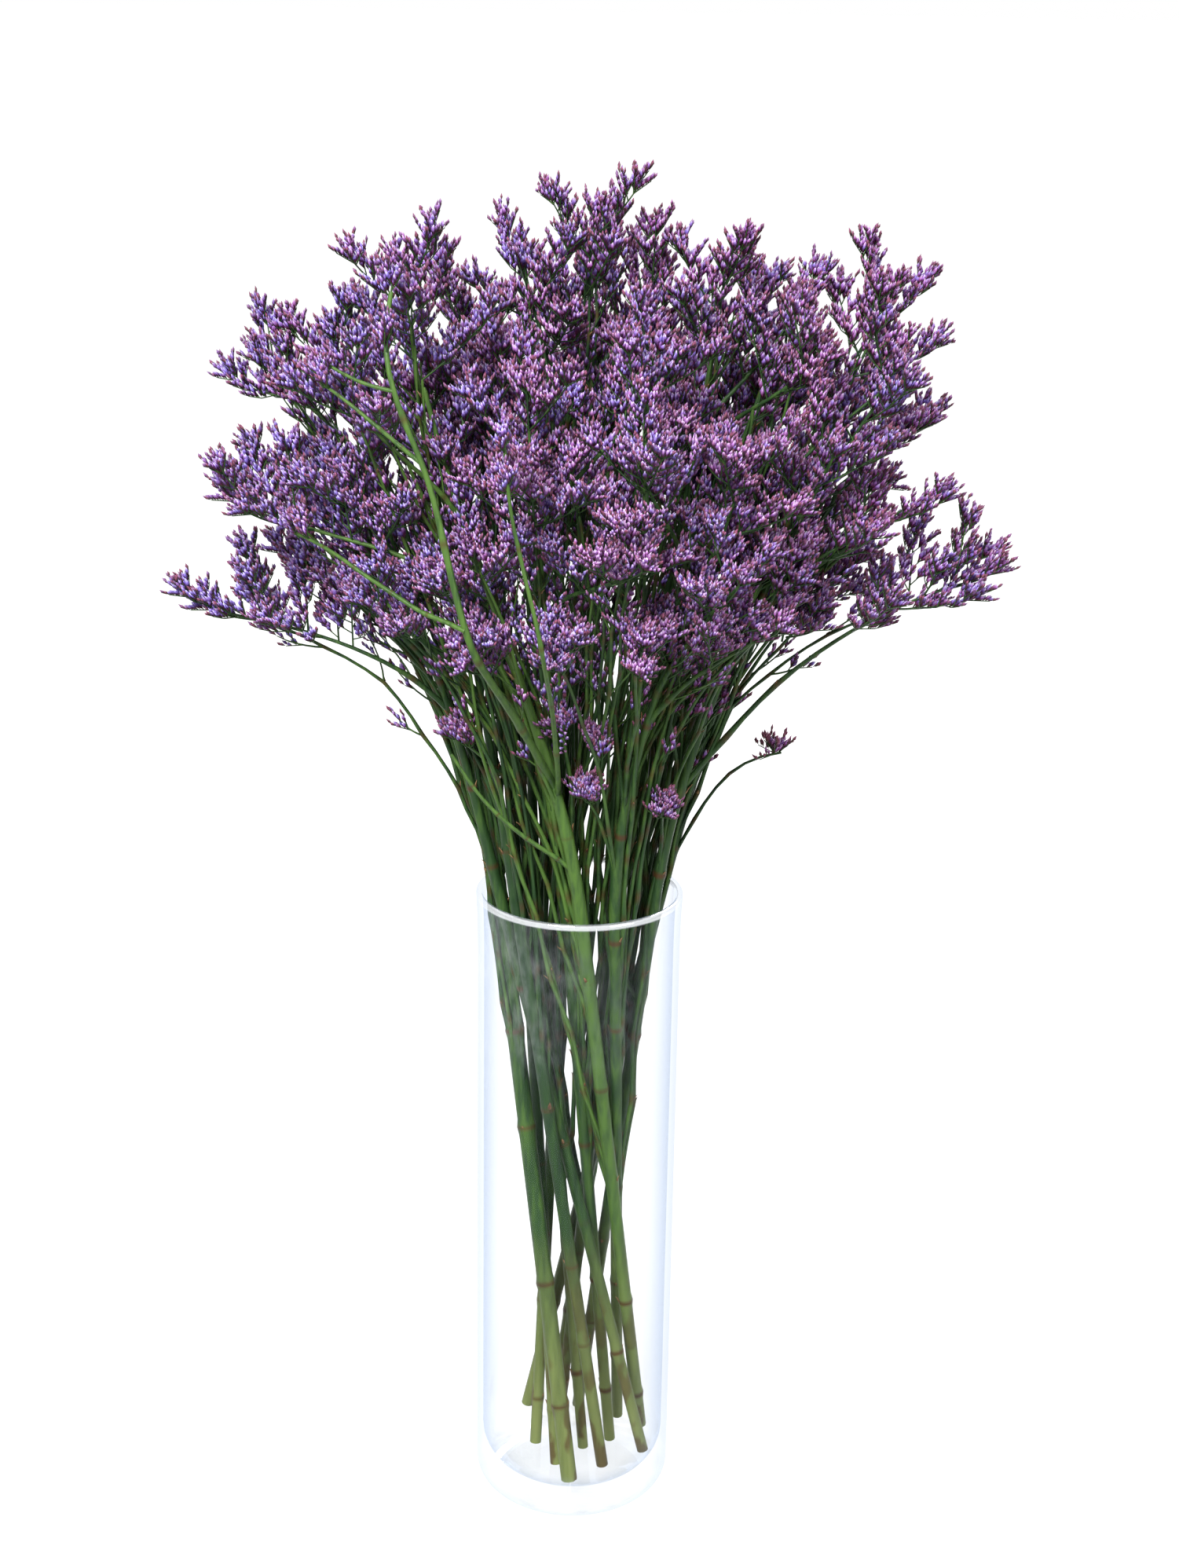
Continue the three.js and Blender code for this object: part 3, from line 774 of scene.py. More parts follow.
def makeVase():
    sculpt, sides = bmesh.new(), vaseForm["sides"]
    angles = [2 * math.pi * k / sides for k in range(sides)]
    rings = []
    for radius, height in vaseProfile():
        rings.append([sculpt.verts.new((radius * math.cos(a) * metres, radius * math.sin(a) * metres,
                                        height * metres)) for a in (angles if radius else angles[:1])])
    for low, high in zip(rings, rings[1:]):
        for k in range(sides):
            after = (k + 1) % sides
            corners = [low[k % len(low)], low[after % len(low)], high[after % len(high)], high[k % len(high)]]
            sculpt.faces.new(list(dict.fromkeys(corners)))
    for face in sculpt.faces:
        face.smooth = True
    mesh = meshFrom(sculpt, "vase_glass")
    mesh.materials.append(clearGlass)
    return addObject("vase_glass", mesh)


vaseGlass = makeVase()
print("vase:", triangles(vaseGlass), "triangles")


# Tubes: every stem, branch and twig is a line with a thickness, turned into a tube

tubeSides = {"Stem Sides": 10, "Branch Sides": 5, "Twig Sides": 3}
stemSort, branchSort, twigSort = 0.0, 1.0, 2.0  # a line's sort says which of these it is


def tubeTree():
    tree, given = newTree("Stem tubes", {label: "Int" for label in tubeSides})
    joined = tree.nodes.new("GeometryNodeJoinGeometry")
    for sort, label in zip((stemSort, branchSort, twigSort), tubeSides):
        chosen = made(tree, "FunctionNodeCompare", {"A": named(tree, "sort"), "B": sort, "Epsilon": 0.1},
                      data_type="FLOAT", operation="EQUAL")
        kept = made(tree, "GeometryNodeSeparateGeometry", {
            "Geometry": given["Geometry"], "Selection": chosen}, domain="POINT")
        curve = made(tree, "GeometryNodeMeshToCurve", {"Mesh": kept})
        circle = made(tree, "GeometryNodeCurvePrimitiveCircle", {"Resolution": given[label], "Radius": 1})
        tube = made(tree, "GeometryNodeCurveToMesh", {
            "Curve": curve, "Profile Curve": circle, "Scale": named(tree, "thick"), "Fill Caps": True})
        tree.links.new(tube, joined.inputs[0])
    endTree(tree, joined.outputs[0], given["Material"])
    return tree


# Florets: two rows of buds along every spike, standing up from it and leaning on towards its tip

budForm = dict(length=5.9, width=1.12, widest=0.62, sides=3)

rowForm = dict(
    spacing=2.19, rows=2, lean=0.35, rise=1.3, splay=0.34, jitter=0.22, tipLean=0.9, tipShrink=0.3,
    widths=(0.8, 1.2), lengths=(0.72, 1.22), youngShares=(0.5, 1.2), youngPower=3,
    spinSeed=7, widthSeed=11, lengthSeed=13, shadeSeed=17, youngSeed=19)


def makeBud():  # a slim closed form, pointed at both ends
    b, sides = budForm, budForm["sides"]
    angles = [2 * math.pi * k / sides for k in range(sides)]
    ring = [(b["width"] * math.cos(a), b["width"] * math.sin(a), b["length"] * b["widest"]) for a in angles]
    faces = []
    for k in range(sides):
        corner, after = 1 + k, 1 + (k + 1) % sides
        faces += [(0, after, corner), (corner, after, sides + 1)]
    points = [(0, 0, 0), *ring, (0, 0, b["length"])]
    mesh = bpy.data.meshes.new("bud")
    mesh.from_pydata([tuple(c * metres for c in point) for point in points], [], faces)
    setValues(mesh, "budAlong", [0, *[b["widest"]] * sides, 1])
    return bpy.data.objects.new("bud", mesh)


def floretTree():
    r = rowForm
    tree, given = newTree("Floret rows", {
        "Bud": "Object", "Spacing": "Float", "Rows": "Int", "Lean": "Float", "Rise": "Float",
        "Splay": "Float", "Jitter": "Float", "Seed": "Int"})
    reach, lift = named(tree, "reach"), named(tree, "lift", "FLOAT_VECTOR")
    curve = made(tree, "GeometryNodeMeshToCurve", {"Mesh": given["Geometry"]})
    along = addNode(tree, "GeometryNodeCurveToPoints", {"Curve": curve, "Length": given["Spacing"]},
                    mode="LENGTH").outputs
    copies = addNode(tree, "GeometryNodeDuplicateElements", {"Geometry": along[0], "Amount": given["Rows"]},
                     domain="POINT").outputs
    tangent, index = along["Tangent"], copies[1]
    shift = times(tree, maths(tree, "DIVIDE", index, given["Rows"]), given["Spacing"])
    moved = made(tree, "GeometryNodeSetPosition", {
        "Geometry": copies[0], "Offset": scaled(tree, tangent, shift)})
    last = maths(tree, "SUBTRACT", given["Rows"], 1)
    side = maths(tree, "SUBTRACT", times(tree, maths(tree, "DIVIDE", index, last), 2), 1)
    across = vectorMaths(tree, "NORMALIZE", {0: vectorMaths(tree, "CROSS_PRODUCT", {0: tangent, 1: lift})})
    loose = made(tree, "FunctionNodeRandomValue", {
        "Min": (-1, -1, -1), "Max": (1, 1, 1), "Seed": given["Seed"]}, data_type="FLOAT_VECTOR")
    aim = vectorSum(
        tree, scaled(tree, tangent, plus(tree, given["Lean"], times(tree, reach, r["tipLean"]))),
        scaled(tree, lift, given["Rise"]), scaled(tree, across, times(tree, side, given["Splay"])),
        scaled(tree, loose, given["Jitter"]))
    turned = made(tree, "FunctionNodeAlignRotationToVector", {"Vector": aim}, axis="Z")
    spin = made(tree, "FunctionNodeAxisAngleToRotation", {
        "Axis": (0, 0, 1), "Angle": randomBetween(tree, (0, math.tau), r["spinSeed"])})
    turned = made(tree, "FunctionNodeRotateRotation", {"Rotation": turned, "Rotate By": spin},
                  rotation_space="LOCAL")
    size = times(tree, named(tree, "size"), maths(tree, "SUBTRACT", 1, times(tree, reach, r["tipShrink"])))
    width = times(tree, size, randomBetween(tree, r["widths"], r["widthSeed"]))
    length = times(tree, size, randomBetween(tree, r["lengths"], r["lengthSeed"]))
    scale = made(tree, "ShaderNodeCombineXYZ", {"X": width, "Y": width, "Z": length})
    bud = made(tree, "GeometryNodeObjectInfo", {"Object": given["Bud"]}, "Geometry")
    buds = made(tree, "GeometryNodeInstanceOnPoints", {
        "Points": moved, "Instance": bud, "Rotation": turned, "Scale": scale})
    buds = store(tree, buds, "budShade", randomBetween(tree, (0, 1), r["shadeSeed"]))
    young = times(tree, named(tree, "young"), randomBetween(tree, r["youngShares"], r["youngSeed"]))
    young = times(tree, maths(tree, "POWER", reach, r["youngPower"]), young)
    endTree(tree, store(tree, buds, "budYoung", young), given["Material"])
    return tree


# How a lobe grows: a curved stalk with alternate side branches, each with its own short spikes of buds

spikeForm = dict(
    upTurn=0.8, liftOut=0.8, liftUp=0.75, liftFrom=440, liftBelow=60, bare=0.1, sizes=(0.88, 1.12),
    spikeRadii=(0.36, 0.24), spikeFresh=0.45,
    stalkRadii=(0.62, 0.36), stalkFresh=0.4, stalkShorter=6, stalkEnd=0.92, stalkSteps=24, stalkRings=6,
    spacing=3.9, fewest=3, bareRoot=0.14, lastSide=0.9, shareSway=0.02, aroundSway=(-0.5, 0.9),
    opening=58, openingLoss=12, openingSway=9, branch=15, branchLoss=0.3, branchBare=0.3, fullReach=34,
    lengths=(0.8, 1.15), toneSway=0.12,
    forks=((0.32, 1), (0.6, -1)), forkOpening=42, forkSway=10, forkTurn=(0.5, 1.4),
    sideSpike=8.5, sideGain=1.1, sideLoss=0.4,
    crown=5, crownAt=0.9, crownSpike=10.5, crownLengths=(0.8, 1.1), crownOpening=42, crownMiddle=4,
    crownTurn=2.1, crownSway=0.4,
    hueAt=(-200, -110, -40, 60, 200), hues=(0.12, 0.25, 0.5, 0.62, 0.6), hueSway=0.18, seed=4)
chance = random.Random(spikeForm["seed"])


def swayed(most):
    return chance.uniform(-most, most)


def sprayHue(tip):  # bluer on the bunch's left, more magenta from its middle to its right
    return np.interp(tip[0], spikeForm["hueAt"], spikeForm["hues"]) + swayed(spikeForm["hueSway"])


def liftAt(point):  # florets face up and away from the bunch's middle
    s = spikeForm
    out = point - np.array([0, 0, min(s["liftFrom"], point[2] - s["liftBelow"])])
    return unit(unit(out) * s["liftOut"] + upward * s["liftUp"])


def addTwig(plant, points, radii, sort, fresh, knotEvery=0):  # knotEvery: points from one knot to the next
    count = len(points)
    thick, brown = np.linspace(*radii, count), np.zeros(count)
    if knotEvery:
        thick[knotEvery:-1:knotEvery] *= stemForm["kinkSwelling"]
        brown[knotEvery:-1:knotEvery] = stemForm["kinkBrown"]
    plant["twigs"].append(dict(points=points, thick=thick * metres, sort=np.full(count, sort),
                               fresh=np.full(count, fresh), brown=brown, cut=np.zeros(count)))


def addSpike(plant, start, aim, length, hue, young, bare=spikeForm["bare"], steps=1):
    s, lift, size = spikeForm, liftAt(start), chance.uniform(*spikeForm["sizes"])
    turned = unit(aim + lift * s["upTurn"])
    points = bowedLine(start, start + aim * length * 0.5, start + (aim + turned) * length * 0.5, steps)
    addTwig(plant, points, s["spikeRadii"], twigSort, s["spikeFresh"])
    count = len(points)
    plant["spikes"].append(dict(
        points=partOf(points, bare, 1, steps), lift=np.tile(lift, (count, 1)), reach=np.linspace(0, 1, count),
        hue=np.full(count, hue), size=np.full(count, size), young=np.full(count, young)))
    return points


def growLobe(plant, root, direction, reach, hue, young=1.0):
    s, g = spikeForm, growth
    middle = root + direction * reach * g["lobeMiddle"] - upward * reach * g["lobeSag"]
    stalk = bowedLine(root, middle, root + direction * (reach - s["stalkShorter"]), s["stalkSteps"])
    stalk = evenLine(stalk, s["stalkSteps"])
    shown = partOf(stalk, 0, s["stalkEnd"], s["stalkRings"])
    addTwig(plant, shown, s["stalkRadii"], twigSort, s["stalkFresh"])
    count = max(s["fewest"], round(reach * (s["lastSide"] - s["bareRoot"]) / s["spacing"]))
    for k in range(count):
        share = blendTo(s["bareRoot"], s["lastSide"], k / (count - 1)) + swayed(s["shareSway"])
        around = (0 if k % 2 else math.pi) + chance.uniform(*s["aroundSway"]) * (1 if k % 2 else -1)
        opening = math.radians(s["opening"] - s["openingLoss"] * share + swayed(s["openingSway"]))
        aim = fanOut(tangentAt(stalk, share), opening, around)
        length = s["branch"] * (1 - s["branchLoss"] * share) * chance.uniform(*s["lengths"])
        length *= min(1, reach / s["fullReach"])
        tone = hue + swayed(s["toneSway"])
        branch = addSpike(plant, pointAt(stalk, share), aim, length, tone, young, s["branchBare"], 2)
        for place, sway in s["forks"]:
            opening = math.radians(s["forkOpening"] + swayed(s["forkSway"]))
            turn = math.pi / 2 + sway * chance.uniform(*s["forkTurn"])
            aside = fanOut(unit(branch[-1] - branch[0]), opening, turn)
            length = s["sideSpike"] * (s["sideGain"] - s["sideLoss"] * place) * chance.uniform(*s["lengths"])
            addSpike(plant, pointAt(branch, place), aside, length, tone, young)
    tip, tangent = pointAt(stalk, s["crownAt"]), tangentAt(stalk, s["crownAt"])
    for k in range(s["crown"]):
        opening = math.radians(s["crownOpening"] if k else s["crownMiddle"])
        aim = fanOut(tangent, opening, k * s["crownTurn"] + swayed(s["crownSway"]))
        addSpike(plant, tip, aim, s["crownSpike"] * chance.uniform(*s["crownLengths"]), hue, young)


# Stems: smooth tapering tubes with brown knotty nodes, paler and browner towards the cut foot

stemForm = dict(
    steps=130, thinning=0.6, thinBy=0.5, endFrom=0.7, endOver=0.3,
    knotSpacing=66, firstKnot=0.5, knotShift=0.12, knotSway=0.3,
    knotSwelling=1.2, knotLength=2.2, knotBrown=0.8,
    branchClear=14, branchSwelling=1.35, branchKnot=1.4, branchBrown=0.7, paleBelow=150, palePower=0.8,
    frontFresh=0.9, fresh=0.25, freshGain=0.25,
    branchRadii=(1.5, 1.0), axisTip=0.55, axisEnd=0.9, axisRings=10, lineSteps=60, missingLobe=0.6,
    tuftRadii=(1.0, 0.6), tuftEnd=0.97,
    kinkSpacing=34, kinkSteps=3, kink=1.3, branchKink=0.6, kinkAcross=(0.3, 1, 0.2),
    kinkSwelling=1.25, kinkBrown=0.6)

companionForm = dict(
    count=4, radii=(1.25, 0.65), low=140, high=370, leaving=2, sway=12, leastSway=0.3, inward=0.75,
    freshSway=(-0.2, 0.25), insideGlass=44, freeAbove=45, stops=300)

sideTwigForm = dict(
    opening=math.radians(38), length=(16, 34), radii=(0.6, 0.4), swing=0.6, across=(0.2, 1, 0.1), steps=4,
    noneBelow=385, bareBelow=395, fullAbove=60, fewest=0.12, shortest=0.35, ripeFrom=0.5, unripe=2.5,
    spikes=((0.55, 0.7), (0.78, -0.7), (1, 0)), spike=8, spikeLengths=(0.6, 1.1), spikeBare=0.25,
    scaleOut=1.0, scaleLean=0.4, scaleSize=0.5)


def stemFreshness(i):  # the stem in front is the brightest green
    f = stemForm
    return f["frontFresh"] if i == 0 else f["fresh"] + f["freshGain"] * ((i * 5) % 3) / 2


def bulge(run, places, width):
    return sum((np.exp(-((run - place) / width) ** 2) for place in places), np.zeros(len(run)))


def stemTube(i, stem):
    f, row, main = stemForm, stem["row"], stem["main"]
    points, whole = partOf(main, 0, stem["topStart"], f["steps"]), lineLength(main)
    shares = np.linspace(0, stem["topStart"], f["steps"] + 1)
    run = shares * whole
    share = np.clip((shares - stem["rimShare"]) / (1 - stem["rimShare"]), 0, 1)
    branches = [spray["place"] * whole for spray in stem["sprays"][1:]]
    spacing = f["knotSpacing"]
    first = spacing * (f["firstKnot"] + f["knotShift"] * (i % 5))
    knots = [knot + swayed(f["knotSway"]) * spacing for knot in np.arange(first, run[-1], spacing)]
    knots = [knot for knot in knots if all(abs(knot - branch) > f["branchClear"] for branch in branches)]
    small, large = bulge(run, knots, f["knotLength"]), bulge(run, branches, f["knotLength"] * f["branchKnot"])
    thick = row["radius"] * blendTo(1, f["thinning"], np.clip(share / f["thinBy"], 0, 1))
    ending = np.clip((shares / stem["topStart"] - f["endFrom"]) / f["endOver"], 0, 1)
    thick = blendTo(thick, f["branchRadii"][1], ending)
    thick = thick * (1 + (f["knotSwelling"] - 1) * small + (f["branchSwelling"] - 1) * large)
    stem["knots"] = [(knot / whole, False) for knot in knots]
    stem["knots"] += [(branch / whole, True) for branch in branches]
    return dict(points=points, thick=thick * metres, sort=np.full(len(points), stemSort),
                fresh=np.full(len(points), stemFreshness(i)),
                brown=np.clip(small * f["knotBrown"] + large * f["branchBrown"], 0, 1),
                cut=np.clip((f["paleBelow"] - points[:, 2]) / f["paleBelow"], 0, 1) ** f["palePower"])


def kinked(line, amount):  # a branch that turns a little at each knot, and its knots
    f = stemForm
    count = max(2, round(lineLength(line) / f["kinkSpacing"]))
    points = partOf(line, 0, 1, count * f["kinkSteps"])
    turn, run = chance.uniform(0, math.tau), unit(line[-1] - line[0])
    side = unit(np.cross(run, f["kinkAcross"]))
    aside = side * math.cos(turn) + np.cross(run, side) * math.sin(turn)
    place = np.linspace(0, count, len(points))
    wave = np.interp(place, range(count + 1), [0] + [(-1) ** k for k in range(1, count)] + [0])
    points = points + aside * (wave * amount)[:, None]
    return points, [(k * f["kinkSteps"], aside * (-1) ** k) for k in range(1, count)]


def addSideTwigs(plant, points, knots, hue, fresh):  # a short side twig leaves at each knot
    t = sideTwigForm
    for k, outward in knots:
        start, tangent = points[k], unit(points[k + 1] - points[k - 1])
        if k % 2 == 0:
            lean = tangent + outward * t["scaleLean"]
            plant["scales"].append((start + outward * t["scaleOut"], lean, outward, t["scaleSize"]))
        grown = np.clip((start[2] - t["bareBelow"]) / t["fullAbove"], t["fewest"], 1)
        if chance.random() > grown or start[2] < t["noneBelow"]:
            continue
        swing = np.cross(tangent, outward) * swayed(t["swing"])
        aim = unit(tangent * math.cos(t["opening"]) + unit(outward + swing) * math.sin(t["opening"]))
        length = chance.uniform(*t["length"]) * (t["shortest"] + (1 - t["shortest"]) * grown)
        end = start + unit(aim + tangent * 0.5) * length
        twig = bowedLine(start, start + aim * length * 0.5, end, t["steps"])
        addTwig(plant, twig, t["radii"], twigSort, fresh)
        young = 1.0 if grown > t["ripeFrom"] else t["unripe"]
        for share, opening in t["spikes"]:
            along = tangentAt(twig, share)
            across = unit(np.cross(along, t["across"])) * math.copysign(1, opening or 1)
            aim = unit(along + across * abs(opening))
            length = t["spike"] * chance.uniform(*t["spikeLengths"])
            addSpike(plant, pointAt(twig, share), aim, length, hue, young, t["spikeBare"])


def addBranch(plant, points, knots, radii, hue, fresh):
    addTwig(plant, points, radii, branchSort, fresh, stemForm["kinkSteps"])
    addSideTwigs(plant, points, knots, hue, fresh)


# Thin branches that the photo shows in the middle: the stem's number, and x and y where the branch passes
throughPlaces = (
    (2, 4, -36), (2, 12, -32), (2, 8, -24), (3, 6, -30), (3, 15, -26), (3, 10, -38),
    (4, 3, -20), (13, 12, -14), (13, 0, -28), (2, 18, -38))


def addCompanion(plant, i, stem, spray, hue, through=None):  # a thin branch from low on a stem into a spray
    c, main = companionForm, stem["main"]
    lobe = chance.choice(spray["lobes"][:-1])
    startHeight = chance.uniform(c["low"], c["high"])
    place = next(share for share in np.linspace(0, 1, c["stops"]) if pointAt(main, share)[2] >= startHeight)
    start, end = pointAt(main, place), lobe["root"]
    turn = chance.uniform(0, math.tau)
    sway = np.array([math.cos(turn), math.sin(turn), 0]) * chance.uniform(c["leastSway"], 1) * c["sway"]
    sway -= np.array([start[0], start[1], 0]) * chance.uniform(0, c["inward"])
    if through:
        sway = np.array([*through, 0]) - (start * 0.5 + end * 0.5) * (1, 1, 0)
    leaving = unit(tangentAt(main, place) * c["leaving"] + unit(end - start))
    line = evenLine(growthLine(start, leaving, end, sway), stemForm["lineSteps"])
    line, knots = kinked(line, stemForm["kink"])
    out = np.hypot(line[:, 0], line[:, 1])
    inVase = np.clip((vaseForm["height"] + c["freeAbove"] - line[:, 2]) / c["freeAbove"], 0, 1)
    line[:, :2] *= (1 - inVase * (1 - np.minimum(1, c["insideGlass"] / np.maximum(out, 1))))[:, None]
    addBranch(plant, line, knots, c["radii"], hue, stemFreshness(i) + chance.uniform(*c["freshSway"]))


# Bright shoots of the first stem that cross the front of the head, placed from the photo. Each has the
# height where it leaves the stem (0: it starts at its own first point), its radius at root and tip, the
# reach of its two floret lobes (0: none), and its points x, y and z.
frontShoots = (
    dict(leaves=398, radii=(2.0, 1.0), reach=13, points=(
        (-28, -80, 433), (-45, -112, 469), (-50, -117, 484), (-57, -114, 511), (-63, -110, 538),
        (-68, -108, 553), (-78, -106, 576), (-83, -103, 593), (-84, -96, 607), (-82, -90, 622))),
    dict(leaves=0, radii=(1.2, 0.7), reach=11, points=(
        (-50, -117, 484), (-59, -112, 487), (-69, -106, 489), (-82, -100, 496), (-95, -98, 504),
        (-106, -90, 510), (-116, -80, 513), (-126, -70, 515))),
    dict(leaves=0, radii=(1.1, 0.7), reach=10, points=(
        (-68, -108, 553), (-81, -105, 563), (-91, -103, 571), (-101, -98, 578), (-112, -90, 584))),
    dict(leaves=0, radii=(1.0, 0.6), reach=0, points=(
        (-80, -105, 583), (-91, -102, 585), (-100, -98, 588), (-113, -90, 594))),
    dict(leaves=354, radii=(1.3, 0.8), reach=0, points=((-29, -47, 370), (-47, -45, 387), (-60, -41, 406))),
    dict(leaves=392, radii=(1.4, 0.8), reach=12, points=(
        (-10, -58, 398), (-12, -80, 428), (-13, -100, 446), (-16, -129, 472), (-19, -133, 490),
        (-23, -132, 505), (-26, -131, 518), (-29, -132, 531), (-31, -134, 543), (-32, -137, 556),
        (-33, -136, 566))),
)

shootForm = dict(
    fresh=0.8, steps=40, knotEvery=8, thickFrom=1.5, stemStops=199, tipAt=0.98, tipRise=0.5, tipBack=3,
    secondAt=-5, secondRise=0.6, secondForward=0.4)


def addFrontShoots(plant, main):
    f, stops = shootForm, partOf(main, 0, 1, shootForm["stemStops"])
    for shoot in frontShoots:
        points, reach = list(shoot["points"]), shoot["reach"]
        if shoot["leaves"]:
            below = stops[stops[:, 2] < shoot["leaves"]]
            points = [below[-4], below[-1]] + points
        line = evenLine(rounded(points), f["steps"])
        sort = stemSort if shoot["radii"][0] > f["thickFrom"] else branchSort
        addTwig(plant, line, shoot["radii"], sort, f["fresh"], f["knotEvery"])
        if reach:
            aim = unit(tangentAt(line, f["tipAt"]) + upward * f["tipRise"])
            second = unit(aim + upward * f["secondRise"] - np.array([0, f["secondForward"], 0]))
            growLobe(plant, line[-1] - aim * f["tipBack"], aim, reach, sprayHue(line[-1]))
            growLobe(plant, line[f["secondAt"]], second, reach, sprayHue(line[-1]))


def growStem(plant, i, stem):
    f, fresh = stemForm, stemFreshness(i)
    plant["twigs"].append(stemTube(i, stem))
    for spray in stem["sprays"]:
        line, start, hue = spray["line"], spray["start"], sprayHue(spray["line"][-1])
        if spray["place"] is not None:
            branch, knots = kinked(partOf(line, 0, start, f["lineSteps"]), f["kink"] * f["branchKink"])
            addBranch(plant, branch, knots, f["branchRadii"], hue, fresh)
        axis = partOf(line, start, f["axisEnd"], f["axisRings"])
        addTwig(plant, axis, (f["branchRadii"][1], f["axisTip"]), branchSort, fresh)
        for lobe in spray["lobes"]:
            reach = lobe["reach"] * (lobe["size"] or f["missingLobe"])
            growLobe(plant, lobe["root"], lobe["direction"], reach, hue)
        for k in range(1 if spray["long"] else companionForm["count"]):
            addCompanion(plant, i, stem, spray, hue)
    for order, (number, x, y) in enumerate(throughPlaces):
        if number == i + 1:
            spray = stem["sprays"][order % len(stem["sprays"])]
            addCompanion(plant, i, stem, spray, sprayHue(spray["line"][-1]), (x, y))
    if i == 0:
        addFrontShoots(plant, stem["main"])
    for tuft in tufts:
        if tuft["stem"] == i:
            hue = sprayHue(tuft["line"][-1])
            branch, knots = kinked(partOf(tuft["line"], 0, f["tuftEnd"], f["lineSteps"]), f["kink"])
            addBranch(plant, branch, knots[:-1], f["tuftRadii"], hue, fresh)
            for lobe in tuft["lobes"]:
                growLobe(plant, lobe["root"], lobe["direction"], lobe["reach"], hue, tuft["young"])


def makeStem(i, stem, tubes, rows, bud, scales):
    plant = dict(twigs=[], spikes=[], scales=scales)
    growStem(plant, i, stem)
    r, name = rowForm, f"{i + 1:02d}"
    wood = runTree(linesObject("stem_lines", plant["twigs"]), tubes, {
        **tubeSides, "Material": stemGreen}, "stem_green_" + name)
    bloom = runTree(linesObject("spike_lines", plant["spikes"]), rows, {
        "Bud": bud, "Spacing": r["spacing"] * metres, "Rows": r["rows"], "Lean": r["lean"], "Rise": r["rise"],
        "Splay": r["splay"], "Jitter": r["jitter"], "Seed": i, "Material": florets}, "bloom_" + name)
    return wood, bloom


# Papery scales: a small pointed leaf clasps a stem at each knot and branch, and a thin branch at every
# second knot

scaleForm = dict(
    length=6.5, width=3.2, thickness=0.25, cup=0.9, curl=1.3, rows=2, narrowing=1.6, smallest=0.55,
    onBranch=1.0, onKnot=0.75, lean=0.25, topRadius=1.9, sunk=0.9, seed=5)


def makeScale():  # thin, closed and cupped, with its root at the origin and its tip up Z
    f = scaleForm
    sculpt = bmesh.new()

    def corner(x, y, z):
        return sculpt.verts.new(Vector((x, y, z)) * metres)

    sheets = []
    for back in (0, f["thickness"]):
        rows = []
        for k in range(f["rows"]):
            share = k / f["rows"]
            half = f["width"] / 2 * (1 - share ** f["narrowing"])
            bend = f["curl"] * share ** 2 + back
            rows.append([corner(x * half, f["cup"] * (1 - abs(x)) * (1 - share) + bend, f["length"] * share)
                         for x in (-1, 0, 1)])
        rows.append([corner(0, f["curl"] + back, f["length"])])
        sheets.append(rows)
    for rows in sheets:
        for low, high in zip(rows, rows[1:]):
            for k in range(2):
                corners = [low[k], low[k + 1], high[min(k + 1, len(high) - 1)], high[min(k, len(high) - 1)]]
                corners = list(dict.fromkeys(corners))
                sculpt.faces.new(corners[::-1] if rows is sheets[1] else corners)
    rims = [[row[0] for row in rows] + [row[-1] for row in rows[-2::-1]] + [rows[0][1]] for rows in sheets]
    for k in range(len(rims[0])):
        after = (k + 1) % len(rims[0])
        sculpt.faces.new([rims[0][k], rims[1][k], rims[1][after], rims[0][after]])
    return bpy.data.objects.new("scale", meshFrom(sculpt, "scale"))


def scaleTree():
    tree, given = newTree("Scales at knots", {"Scale": "Object", "Smallest": "Float", "Seed": "Int"})
    points = made(tree, "GeometryNodeMeshToPoints", {"Mesh": given["Geometry"]})
    aim, out = (named(tree, name, "FLOAT_VECTOR") for name in ("aim", "out"))
    turned = made(tree, "FunctionNodeAxesToRotation", {"Primary Axis": aim, "Secondary Axis": out},
                  primary_axis="Z", secondary_axis="Y")
    leaf = made(tree, "GeometryNodeObjectInfo", {"Object": given["Scale"]}, "Geometry")
    size = times(tree, named(tree, "size"), randomBetween(tree, (given["Smallest"], 1), given["Seed"]))
    leaves = made(tree, "GeometryNodeInstanceOnPoints", {
        "Points": points, "Instance": leaf, "Rotation": turned, "Scale": size})
    endTree(tree, leaves, given["Material"])
    return tree


def scalePlaces(stem):  # the scale's place on the stem's surface, the way it points and the way it faces
    f, places = scaleForm, []
    around = chance.uniform(0, math.tau)
    for share, branching in stem["knots"]:
        point, tangent = pointAt(stem["main"], share), tangentAt(stem["main"], share)
        side = unit(np.cross(tangent, stemForm["kinkAcross"]))
        across = np.cross(tangent, side)
        around += growth["goldenAngle"]
        out = side * math.cos(around) + across * math.sin(around)
        past = np.clip((share - 0.5) * 2, 0, 1)  # how far past the stem's middle
        radius = blendTo(stem["row"]["radius"], f["topRadius"], past)
        size = f["onBranch"] if branching else f["onKnot"]
        places.append((point + out * radius * f["sunk"], tangent + out * f["lean"], out, size))
    return places


def makeScales(scale, knotScales):
    places = [place for stem in bunch for place in scalePlaces(stem)] + knotScales
    points, aims, outs, sizes = (np.array(column, float) for column in zip(*places))
    mesh = bpy.data.meshes.new("scale_points")
    mesh.from_pydata((points * metres).tolist(), [], [])
    for name, values in (("aim", aims), ("out", outs), ("size", sizes)):
        setValues(mesh, name, values)
    return runTree(addObject("scale_points", mesh), scaleTree(), {
        "Scale": scale, "Smallest": scaleForm["smallest"], "Seed": scaleForm["seed"], "Material": scaleBrown},
        "papery_scales")


